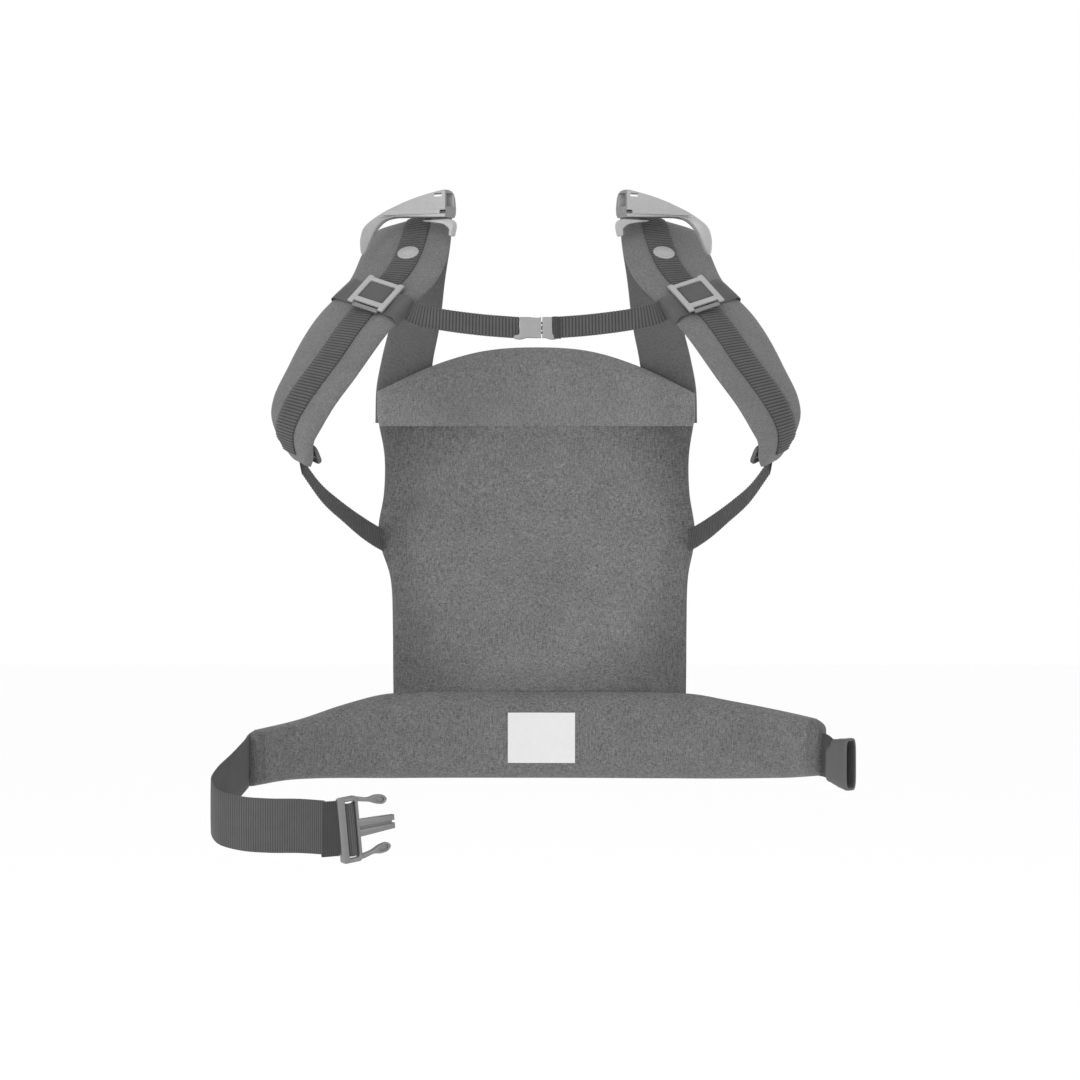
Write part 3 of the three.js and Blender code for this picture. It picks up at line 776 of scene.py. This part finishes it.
def resting_on(skin, lift, beyond):
    """How far out a webbing lies at each place on a skin, and beyond its edges."""
    def height(point, out):
        place = laid_on(skin, point, out)
        return (place - point).dot(out) + lift if place != point else beyond

    return height


# ---- body panel, headrest and risers ----

panel_left = through(PANEL_LEFT)
panel_right = through(PANEL_RIGHT)
panel_edge = through(PANEL_EDGE_DEPTH)
pouch = through(POUCH_DEPTH)
headrest_arc = through(HEADREST_ARC)


def panel_surface(a, b):
    z = lerp(PANEL_BOTTOM, PANEL_TOP, b)
    half = (panel_right(z) - panel_left(z)) / 2
    middle = (panel_right(z) + panel_left(z)) / 2
    return Vector((middle + a * half, panel_edge(z) + pouch(z) * (1 - a * a), z))


def pad_heights(thick, wide, high, radius, flush_low=False, flush_top=False):
    """The front and back of a pad whose inner face lies on a surface, thinning to its sewn edges.

    A flush edge stays level with the front, where another piece is sewn on.
    """
    def shares(a, b):
        return (rounding((1 - abs(a)) * wide / 2, radius), rounding(b * high, radius),
                rounding((1 - b) * high, radius))

    def front(a, b):
        sides, low, top = shares(a, b)
        return -thick / 2 * (1 - sides * (1 if flush_low else low) * (1 if flush_top else top))

    def back(a, b):
        sides, low, top = shares(a, b)
        return front(a, b) - thick * max(sides * low * top, SEWN_EDGE)

    return front, back


def add_panel(cloth):
    high = PANEL_TOP - PANEL_BOTTOM
    heights = pad_heights(PANEL_THICK, PANEL_WIDE, high, 6, flush_top=True)
    panel = add_pad("body_panel", pad_grid(PANEL_WIDE, high), panel_surface, heights, cloth,
                    "body_cloth", swell=1.5)
    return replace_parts(panel, "panel_inner_cover", "panel_padding", "panel_outer_cover")


def headrest_surface(a, b):
    x = a * (HEADREST_HALF - HEADREST_NARROWED * (1 - clamp(3 * b)) ** 2)
    z = lerp(HEADREST_SEAM, headrest_arc(x), b)
    return Vector((x, HEADREST_DEPTH + HEADREST_LEAN * (z - HEADREST_SEAM), z))


def add_headrest(cloth):
    wide = 2 * HEADREST_HALF
    heights = pad_heights(HEADREST_THICK, wide, HEADREST_HIGH, 6, flush_low=True)
    headrest = add_pad("headrest_pad", pad_grid(wide, HEADREST_HIGH), headrest_surface, heights, cloth,
                       "crown_cloth", swell=2)
    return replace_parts(headrest, "headrest_inner_cover", "headrest_padding", "headrest_outer_cover")


def add_risers(cloth):
    line = curve(RISER_LINE)
    width = through(RISER_WIDTH)

    def surface(a, b):
        return line(b) + X_AXIS * (a * width(clamp(b)) / 2)

    def height(face):
        return lambda a, b: -RISER_THICK / 2 * (1 + face * rounding((1 - abs(a)) * 25, 2))

    data = shell(surface, height(-1), height(1), stations(16), even(0, 1, 48))
    for side, shape in both_sides(data):
        riser = add_part(f"riser_cloth_{side}", shape, cloth, "dark_cloth", f"riser_{side}", "panel",
                         sharp=180)


# ---- shoulder straps ----

strap_line = curve(STRAP_LINE)
strap_across_line = curve(STRAP_ACROSS)
strap_half = through(STRAP_HALF)
strap_bulge = through(STRAP_BULGE)


def strap_across(t):
    return strap_across_line(t).normalized()


def strap_surface(a, b):
    t = clamp(b)
    half = strap_half(t) + (strap_bulge(t) if a > 0 else 0)
    return strap_line(t) - strap_across(t) * a * half


def strap_out(t):
    return strap_across(t).cross(-heading(strap_line, t)).normalized()


def strap_frame(t, lift):
    """The axes on the strap's face: across towards the spine, up the strap, and out of it."""
    across = strap_across(t)
    out = strap_out(t)
    upright = out.cross(across)
    origin = strap_line(t) + out * lift
    return Matrix.Translation(origin) @ Matrix((across, upright, out)).transposed().to_4x4()


def add_straps(cloth):
    length = lengths(strap_line)[-1]
    heights = pad_heights(STRAP_THICK, STRAP_WIDE, length, 11)
    straps = []
    for side in ("left", "right"):
        strap = add_pad(f"strap_pad_{side}", pad_grid(STRAP_WIDE, length), strap_surface, heights, cloth,
                        "crown_cloth", swell=1.2, mirror=side == "right")
        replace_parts(strap, f"strap_outer_cover_{side}", f"strap_padding_{side}", f"strap_inner_cover_{side}")
        straps.append(strap)
    return straps


def add_rails(ribbed, skin):
    shift = through(RAIL_SHIFT)

    def line(share):
        t = share * RAIL_END
        inside = clamp(t)
        return strap_line(t) - strap_across(inside) * shift(inside)

    data = webbing(line, lambda share: -strap_across(share * RAIL_END), RAIL, RAIL_PITCH, 0.35,
                   rest=resting_on(skin, RAIL_LIFT, RAIL_BEYOND))
    for side, shape in both_sides(data):
        add_part(f"rail_{side}", shape, ribbed, "ribbed_webbing", f"rail_webbing_{side}", "harness",
                 sharp=60)


def add_badges(plastic):
    turns = [2 * math.pi * i / 36 for i in range(36)]
    oval = [(BADGE_HALF[0] * math.cos(turn), BADGE_HALF[1] * math.sin(turn)) for turn in turns]
    raised = [(0.72 * x, 0.68 * y) for x, y in oval]
    data = joined(plate([oval], 1.6, 0.6), moved(plate([raised], 1.2, 0.4), Matrix.Translation((0, 0, 0.7))))
    place = strap_frame(BADGE_AT, BADGE_LIFT) @ Matrix.Translation((4.4, 0, 0))
    for side, shape in both_sides(moved(data, place)):
        add_part(f"strap_badge_{side}", shape, plastic, "light_plastic", f"badge_{side}", "harness")


def add_sliders(plastic, dark_plastic, smooth):
    across, up = Vector(SLIDER_ACROSS).normalized(), Vector(SLIDER_UP)
    out = across.cross(up).normalized()
    place = Matrix.Translation(SLIDER_BASE) @ Matrix((across, out.cross(across), out)).transposed().to_4x4()
    under = strap_frame(KEEPER_AT, 0) @ Matrix.Rotation(math.radians(KEEPER_TURN), 4, "Z")
    inner = [(38.8, 0, -9), (39.8, 0, -4), (38, 0, 1.8), (30, 0, 2.4), (21, 0, 2.8), (15, 0, 4.2),
             (8, 0, 4.9)]
    outer = [(-8, 0, 4.9), (-15, 0, 4.2), (-21, 0, 2.8), (-30, 0, 2.2), (-42, 0, 1.6), (-47, 0, -2.4),
             (-46.5, 0, -8)]
    band = moved(webbing(curve(inner + outer), lambda t: Y_AXIS, 29, PLAIN_PITCH), under)
    outline = [(-19.5, -19.5), (-14, -19.5), (-14, -16), (14, -16), (14, -19.5), (19.5, -19.5), (19.5, 19.5),
               (14, 19.5), (14, 18), (-14, 18), (-14, 19.5), (-19.5, 19.5)]
    window = rounded_box(27.6, 24, 1.2, 0, 1.4)
    lifted = place @ Matrix.Translation((0, 0, SLIDER_LIFT))
    bars = moved(plate([outline, window], 3.4, 1.1), lifted)
    # The back bar is drawn in the darker grey plastic; its darkness is partly painted shade beneath the
    # frame's bottom bar.
    back_bar = plate([rounded_box(28, 4.4, 1.5, 0, -19.4)], 3, 0.9)
    back_bar = moved(back_bar, lifted @ Matrix.Translation((0, 0, -2)))
    fold_line = curve([(0, 14.6, 6.4), (0, 12, 8.2), (0, 5, 8.8), (0, -4, 8.8), (0, -9, 8.4), (0, -13, 6.6)])
    fold = moved(webbing(fold_line, lambda t: X_AXIS, 26.8, PLAIN_PITCH, thick=1.2), place)
    for side, flip in (("left", lambda shape: shape), ("right", mirrored)):
        body = f"chest_slider_{side}"
        add_part(f"slider_band_{side}", flip(band), smooth, "smooth_webbing", f"keeper_band_{side}", body,
                 sharp=60)
        add_part(f"slider_frame_{side}", flip(bars), plastic, "light_plastic", f"slider_{side}", body)
        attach(add(f"slider_back_bar_{side}", flip(back_bar), dark_plastic, "grey_plastic"), body)
        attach(add(f"slider_loop_{side}", flip(fold), smooth, "smooth_webbing", sharp=60), body)


# ---- shoulder arches ----

ARCH_LOWER = [(1.5, -7.2), (20, -6.4), (38, -5.5), (54, -4.8), (63, -5), (70, -7.6), (75.6, -15), (80, -27),
              (82.4, -36), (84.2, -41)]
ARCH_UPPER = [(86.4, -36), (86.4, -26), (83.4, -13.5), (71, 0), (53, 8.2), (33, 14.4), (9, 19.4)]
ARCH_RIM = 4.2  # radius of the rolled lower edge


def on_shoulder(data):
    """Places a shape drawn with X outwards from the arch's inner end, Y up and Z into the wearer."""
    points, faces, uvs = data
    bent = []
    for p in points:
        beyond = max(0.0, p.x - ARCH_STRAIGHT)
        behind = (p.z + ARCH_DEPTH / 2) * max(1 - ARCH_THINNING * beyond, 0.3)
        bent.append(Vector((p.x, p.y, behind - ARCH_DEPTH / 2 - ARCH_BEND * beyond * beyond)))
    turn = Matrix(((-1, 0, 0), (0, 0, 1), (0, 1, 0))).to_4x4()
    place = Matrix.Translation(ARCH_ORIGIN) @ Matrix.Rotation(-math.radians(ARCH_YAW), 4, "Z") @ turn
    return moved((bent, faces, uvs), place)


def flat_curve(points, steps):
    line = curve([(x, y, 0) for x, y in points])
    return [tuple(line(i / steps))[:2] for i in range(steps + 1)]


def leaning(data):
    """Leans a cutter so that it runs straight away from a viewer behind the wearer."""
    points, faces, uvs = data
    slope = math.tan(math.radians(ARCH_YAW))
    return [Vector((p.x + slope * p.z, p.y, p.z)) for p in points], faces, uvs


def arch_body():
    outline = flat_curve(ARCH_LOWER, 44) + [(85.2, -41.4), (86, -40)] + flat_curve(ARCH_UPPER, 36)
    outline += [(4.6, 19), (2, 16), (0.8, 12), (-0.6, 1), (0, -4)]
    body = plate([outline], ARCH_DEPTH, 1.4)
    beside = plate([[(-20, -8), (7.6, -8), (-1, 8), (-20, 8)]], 90, 0)
    slots = [rounded_box(8.5, 3.4, 1.2, 16.4, 14.6), rounded_box(6.5, 3.6, 1.5, 11.4, -1.6),
             [(77.4, -18.8), (78.6, -19.2), (80, -22), (82.2, -26.6), (81.2, -27.2), (79, -23.4)]]
    recess = block((-3, 3.4, -4.4), (9.5, 16, 3.6))
    tools = [leaning(plate([slot], 3 * ARCH_DEPTH, 0)) for slot in slots]
    return cut(body, moved(beside, UPRIGHT), recess, *tools)


def add_arches(plastic, painted_shade):
    depth = ARCH_RIM - ARCH_DEPTH / 2 - 0.6
    rim_points = [(17, -6.5 + ARCH_RIM, depth)] + [(x, y + ARCH_RIM, depth) for x, y in ARCH_LOWER[2:5]]
    rim_points += [(71.4, -4.8, -2.2), (78, -13.6, -2), (82, -25, -2), (84, -34, -2.6)]

    def radius(t):
        return ARCH_RIM * min(0.3 + 6 * t, 1 - 0.62 * clamp((t - 0.5) / 0.5))

    rim = tube(curve(rim_points), radius, 90)
    for side, shape in both_sides(on_shoulder(joined(arch_body(), rim))):
        arch = add_part(f"arch_{side}", shape, plastic, "light_plastic", f"shoulder_arch_{side}", "harness",
                        sharp=35)
        # The end face and the downward faces under the arch take a darker copy of the plastic, as painted
        # shade.
        arch.data.materials.append(painted_shade)
        for face in arch.data.polygons:
            from_spine = abs(face.center.x)
            faces_spine = face.normal.x * face.center.x < -0.6 * from_spine
            at_end = faces_spine and from_spine < 0.086
            under = face.normal.z < -0.8 and from_spine < 0.135
            face.material_index = int(at_end or under)
    lip_points = [(31, -9.2), (12, -8.6), (3, -8.8), (-0.6, -11), (-1.6, -15.5), (-0.6, -21), (0.4, -24.5),
                  (3.4, -24.5), (3.6, -21), (3.4, -18.5), (5.6, -16), (10, -13.2), (20, -11.2)]
    for side, shape in both_sides(on_shoulder(plate([smooth_outline(lip_points, 3)], 9, 0.9))):
        add_part(f"lip_{side}", shape, plastic, "light_plastic", f"arch_lip_{side}", "harness", sharp=35)


# ---- chest strap ----

def add_chest_strap(ribbed, dark, plastic):
    data = webbing(curve(CHEST_LINE), curve(CHEST_ACROSS), CHEST_WEBBING, RAIL_PITCH, 0.3)
    for side, shape in both_sides(data):
        strip = add(f"chest_web_{side}", shape, ribbed, "ribbed_webbing", sharp=60)
        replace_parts(strip, f"chest_webbing_{side}")
        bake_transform(strip)
    place = Matrix.Translation(CHEST_BUCKLE) @ UPRIGHT
    half = [(2, 9.3), (6, 9.9), (13.4, 9.9), (15.2, 9.2), (15.1, 3), (15.4, -3), (16, -6.2), (19.6, -6.8),
            (20.6, -8), (20, -10), (14, -10.8), (9, -9.4), (4, -9.4)]
    outline = smooth_outline(half + [(-x, y) for x, y in reversed(half)], 3)
    socket = cut(plate([outline], CHEST_BUCKLE_THICK, 1.6), block((CHEST_PARTING, -20, -9), (30, 20, 9)),
                 block((-5, -6.5, -2.5), (9, 6.5, 2.5)))
    add_part("chest_socket", moved(socket, place), plastic, "light_plastic", "chest_buckle_socket",
             "chest_strap", sharp=35)
    plug = plate([[point for point in outline if point[0] > CHEST_PARTING + 0.2]], CHEST_BUCKLE_THICK, 1)
    tongue = plate([rounded_box(20, 4, 1, 2, 0)], 3.4, 0.5)
    add_part("chest_plug", moved(joined(plug, tongue), place), plastic, "light_plastic", "chest_buckle_plug",
             "chest_strap", sharp=35)
    turn = webbing(curve([(15, 0, -1), (16, 0, 3), (18.4, 0, 4.2), (21.4, 0, 2.4), (22.6, 0, -0.4)]),
                   lambda t: Y_AXIS, CHEST_WEBBING + 0.6, PLAIN_PITCH)
    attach(add("chest_web_turn", moved(turn, place), dark, "ribbed_webbing", sharp=60), "chest_strap")
    points = [(5.6, 3.2), (5.6, 5.6), (1.2, 6), (-0.2, 9.2), (-4.5, 9.4), (-5.6, 6.6), (-2, 4.6)]
    for end, side in (("upper", 1), ("lower", -1)):
        arm = plate([smooth_outline(turned_over(points, side), 4)], 3.4, 0.6)
        add_part(f"chest_arm_{end}", moved(arm, place), plastic, "light_plastic", f"chest_prong_{end}",
                 f"chest_prong_{end}")


# ---- lower webbing ----

def add_lower_webbing(ribbed, dark_plastic):
    data = webbing(curve(LOWER_LINE), curve(LOWER_ACROSS), LOWER_WEBBING, LOWER_PITCH, 0.3)
    for side, shape in both_sides(data):
        strip = add(f"lower_web_{side}", shape, ribbed, "ribbed_webbing", sharp=60)
        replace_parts(strip, f"lower_webbing_{side}")
        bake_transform(strip)
    slots = [rounded_box(23, 3.4, 1.2, 0, y) for y in (3.6, -3.6)]
    adjuster = plate([rounded_box(30, 20, 6), *slots], 4, 1.3)
    place = strap_frame(ADJUSTER_AT, ADJUSTER_LIFT) @ Matrix.Translation((2, 0, 0))
    for side, shape in both_sides(moved(adjuster, place)):
        add_part(f"adjuster_{side}", shape, dark_plastic, "dark_plastic", f"strap_adjuster_{side}",
                 "harness")


# ---- waist belt ----

belt_depth = through(BELT_DEPTH)
belt_upper = through(BELT_UPPER)
belt_lower = through(BELT_LOWER)


def belt_surface(left, right):
    def at(a, b):
        x = lerp(left, right, (a + 1) / 2)
        return Vector((x, belt_depth(x), lerp(belt_lower(x), belt_upper(x), b)))
    return at


def add_belt(cloth, dark_cloth):
    surface = belt_surface(BELT_LEFT - 3, BELT_RIGHT + 3)
    heights = pad_heights(BELT_THICK, BELT_LONG, BELT_HIGH, 7)
    belt = add_pad("belt_pad", pad_grid(BELT_LONG, BELT_HIGH), surface, heights, cloth, "body_cloth",
                   swell=2.5)
    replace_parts(belt, "belt_inner_cover", "belt_padding", "belt_outer_cover")
    for side, left, right in (("left", BELT_LEFT - BELT_BAND, BELT_LEFT + 1),
                              ("right", BELT_RIGHT - 1, BELT_RIGHT + BELT_BAND)):
        def from_end(a):
            return ((1 + a) if side == "left" else (1 - a)) * (BELT_BAND + 1) / 2

        def surface(a, b):
            x = lerp(left, right, (a + 1) / 2)
            low = belt_lower(x) + corner_drop(from_end(a), 3)
            return Vector((x, belt_depth(x), lerp(low, belt_upper(x) - corner_drop(from_end(a), 9), b)))

        def share(a, b):
            return rounding(from_end(a), 3) * rounding(min(b, 1 - b) * 55, 7)

        def front(a, b):
            return BAND_PROUD - (BELT_THICK / 2 + BAND_PROUD) * (1 - share(a, b))

        def back(a, b):
            return -BELT_THICK - front(a, b)

        data = shell(surface, front, back, stations(8), [(s + 1) / 2 for s in stations(24)])
        smoothed(add_part(f"end_band_{side}", data, dark_cloth, "dark_cloth", f"belt_end_{side}", "belt",
                          sharp=180))
    return belt


def add_label(cloth, skin):
    def surface(a, b):
        x = lerp(LABEL["left"], LABEL["right"], (a + 1) / 2)
        point = Vector((x, belt_depth(x), lerp(LABEL["low"], LABEL["high"], b)))
        return laid_on(skin, point, -Y_AXIS)

    data = shell(surface, lambda a, b: 0.55, lambda a, b: 0.15, even(-1, 1, 14), even(0, 1, 10))
    label = add_part("belt_label", data, cloth, "label_cloth", "care_label", "belt", sharp=60)


# ---- waist webbing and its buckle ----

MALE = (Matrix.Translation(MALE_AT) @ Matrix.Rotation(math.radians(MALE_YAW), 4, "Z")
        @ Matrix.Rotation(-math.radians(MALE_PITCH), 4, "Y") @ UPRIGHT)
FEMALE = Matrix.Translation(FEMALE_AT) @ Matrix.Rotation(math.radians(FEMALE_YAW), 4, "Z") @ UPRIGHT


def add_waist_webbing(fine):
    data = webbing(curve(WAIST_LINE), lambda t: Z_AXIS, WAIST_WEBBING, WAIST_PITCH, WAIST_RELIEF)
    strip = add("waist_web", data, fine, "smooth_webbing", sharp=60)
    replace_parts(strip, "waist_webbing")
    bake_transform(strip)


def add_plug(plastic, fine, doubled):
    frame_bars = plate([rounded_box(22, 62, 4, 11, 0), rounded_box(12, 52.5, 2, 12.5, 0)], 7.5, 2)
    thick_bar = tube(curve([(3.6, y, 0.6) for y in (-28.6, -10, 10, 28.6)]), lambda t: 4.6, 12)
    rails = [plate([[(20, y0), (60, y1), (60, y3), (20, y2)]], 7.4, 1) for y0, y1, y2, y3 in
             ((-8.4, -6.6, -1.4, -1.2), (1.4, 1.2, 8.4, 6.6))]
    web = plate([[(20, -3), (58, -3), (58, 3), (20, 3)]], 3, 0.3)
    add_part("plug_frame", moved(joined(frame_bars, thick_bar, *rails, web), MALE), plastic, "grey_plastic",
             "waist_buckle_plug", "waist_plug", sharp=35)
    arm = [(22.4, 29.3), (34, 26.8), (42, 27.8), (50, 26.8), (54, 22.3), (50, 18.3), (42, 19.5), (34, 22.6),
           (22.4, 25.2)]
    dimple = [(42, 25.1), (48.5, 24.8), (51, 22.5), (48.5, 20.4), (42, 21.7)]
    for end, side in (("upper", 1), ("lower", -1)):
        hollow = smooth_outline(turned_over(dimple, side), 4)
        head = plate([smooth_outline(turned_over(arm, side), 5), hollow], 5.6, 1)
        head = joined(head, plate([hollow], 2.6, 0.1))
        add_part(f"plug_arm_{end}", moved(head, MALE), plastic, "grey_plastic", f"waist_prong_{end}",
                 f"waist_prong_{end}", sharp=35)
    fold_line = curve([(7, 0, -2.6), (7.8, 0, 0.4), (10, 0, 2.2), (12.5, 0, 2.7), (15, 0, 2.2),
                       (17.2, 0, 0.4), (18, 0, -2.6)])
    fold = webbing(fold_line, lambda t: Y_AXIS, WAIST_WEBBING, WAIST_PITCH, WAIST_RELIEF)
    add_part("webbing_turn", moved(fold, MALE), fine, "smooth_webbing", "webbing_fold", "waist_plug",
             sharp=60)
    end_line = curve([(-18, 0, 0.2), (-12, 0, 0.3), (-5, 0, 0.3), (0.4, 0, 0.2)])
    end = webbing(end_line, lambda t: Y_AXIS, WAIST_WEBBING + 1.6, WAIST_PITCH, WAIST_RELIEF, thick=4.2)
    level = MALE @ Matrix.Translation((0, 3.2, 0)) @ Matrix.Rotation(-math.radians(MALE_PITCH), 4, "Z")
    add_part("webbing_doubled", moved(end, level), doubled, "smooth_webbing", "webbing_keeper", "waist_plug",
             sharp=60)


SOCKET_SIDES = 48
SOCKET_CORNERS = 2 / 5  # the smaller, the squarer the socket's section


def superellipse(x, top, bottom, half_deep):
    """A ring of the socket: an oval with square corners."""
    ring = []
    middle, half_high = (top - bottom) / 2, (top + bottom) / 2
    for i in range(SOCKET_SIDES):
        angle = 2 * math.pi * i / SOCKET_SIDES
        c, s = math.cos(angle), math.sin(angle)
        ring.append(Vector((x, middle + math.copysign(abs(c) ** SOCKET_CORNERS, c) * half_high,
                            math.copysign(abs(s) ** SOCKET_CORNERS, s) * half_deep)))
    return ring


def add_socket(dark_plastic, doubled):
    outer = [(6.5, 14, 15.6, 5.4), (7, 15, 17, 6.6), (8.2, 16, 17.8, 7), (9.6, 16.8, 18.2, 7),
             (11.5, 19, 18.6, 7), (13, 22.2, 19.4, 7), (15, 23.6, 20.2, 7), (22, 24, 22.8, 7),
             (28, 24.4, 24.4, 7.6), (30, 24.9, 25, 8), (32.4, 24.8, 24.8, 7.8), (33, 24, 24, 7.2)]
    inner = [(32.6, 22.6, 22.6, 6), (29, 21.4, 21.4, 5.4), (20, 19, 19, 5), (10, 14, 15, 4.6)]
    data = loft([superellipse(*ring) for ring in outer + inner])
    latch = block((12, -40, -4), (20, 40, 4))
    add_part("socket_shell", moved(cut(data, latch), FEMALE), dark_plastic, "dark_plastic",
             "waist_buckle_socket", "waist_socket", sharp=35)
    strip = webbing(curve(SOCKET_LINE), lambda t: Z_AXIS, SOCKET_WEBBING, PLAIN_PITCH)
    strip = add("socket_web", strip, doubled, "smooth_webbing", sharp=60)
    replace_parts(strip, "socket_webbing")
    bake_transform(strip)


# ---- the scene ----

def build():
    add_camera()
    add_studio()
    # The body panel's colour darkens outside an oval, as painted shade along its sides and lower corners.
    body_cloth = heather("body_heather", 68, 131, 0.8, 6.0, 0.3, oval=(0, -318, 150, 165))
    belt_cloth = heather("belt_heather", 63, 121, 0.8, 6.0, 0.3)
    end_cloth = heather("belt_end_heather", 58, 108, 0.8, 6.0, 0.3)
    crown_cloth = heather("crown_heather", 86, 134, 1.0, 5.0, 0.25)
    strap_cloth = heather("strap_heather", 76, 117, 0.7, 2.6, 0.25)
    dark_cloth = heather("dark_cloth", 74, 102, 0.8, 3.0, 0.25)
    ribbed = webbing_cloth("ribbed_webbing", 45, 77, 0.3)
    fine = webbing_cloth("fine_webbing", 50, 80, 0.2)
    doubled = webbing_cloth("doubled_webbing", 44, 59, 0.15)
    smooth = webbing_cloth("smooth_webbing", 70, 78, 0.08)
    light_plastic = moulded("light_plastic", 152, 0.28, coat=0.15)
    buckle_plastic = moulded("buckle_plastic", 138, 0.32)
    # A darker copy of the arches' plastic, as painted shade on their end faces and undersides.
    painted_shade_plastic = moulded("painted_shade_plastic", 116, 0.4)
    grey_plastic = moulded("grey_plastic", 104, 0.14, coat=0.8)
    dark_plastic = moulded("dark_plastic", 75, 0.42)

    panel = add_panel(body_cloth)
    headrest = add_headrest(crown_cloth)
    add_risers(dark_cloth)
    straps = add_straps(strap_cloth)
    belt = add_belt(belt_cloth, end_cloth)
    swell_pads()
    add_rails(ribbed, skin_of(straps[0]))
    add_badges(light_plastic)
    add_sliders(light_plastic, grey_plastic, smooth)
    add_arches(light_plastic, painted_shade_plastic)
    add_chest_strap(ribbed, doubled, buckle_plastic)
    add_lower_webbing(ribbed, dark_plastic)
    add_label(label_cloth(), skin_of(belt))
    add_waist_webbing(fine)
    add_plug(grey_plastic, fine, doubled)
    add_socket(dark_plastic, doubled)

    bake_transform(panel)
    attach(headrest, "headrest")
    for strap in straps:
        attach(strap, "harness")
    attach(belt, "belt")


build()
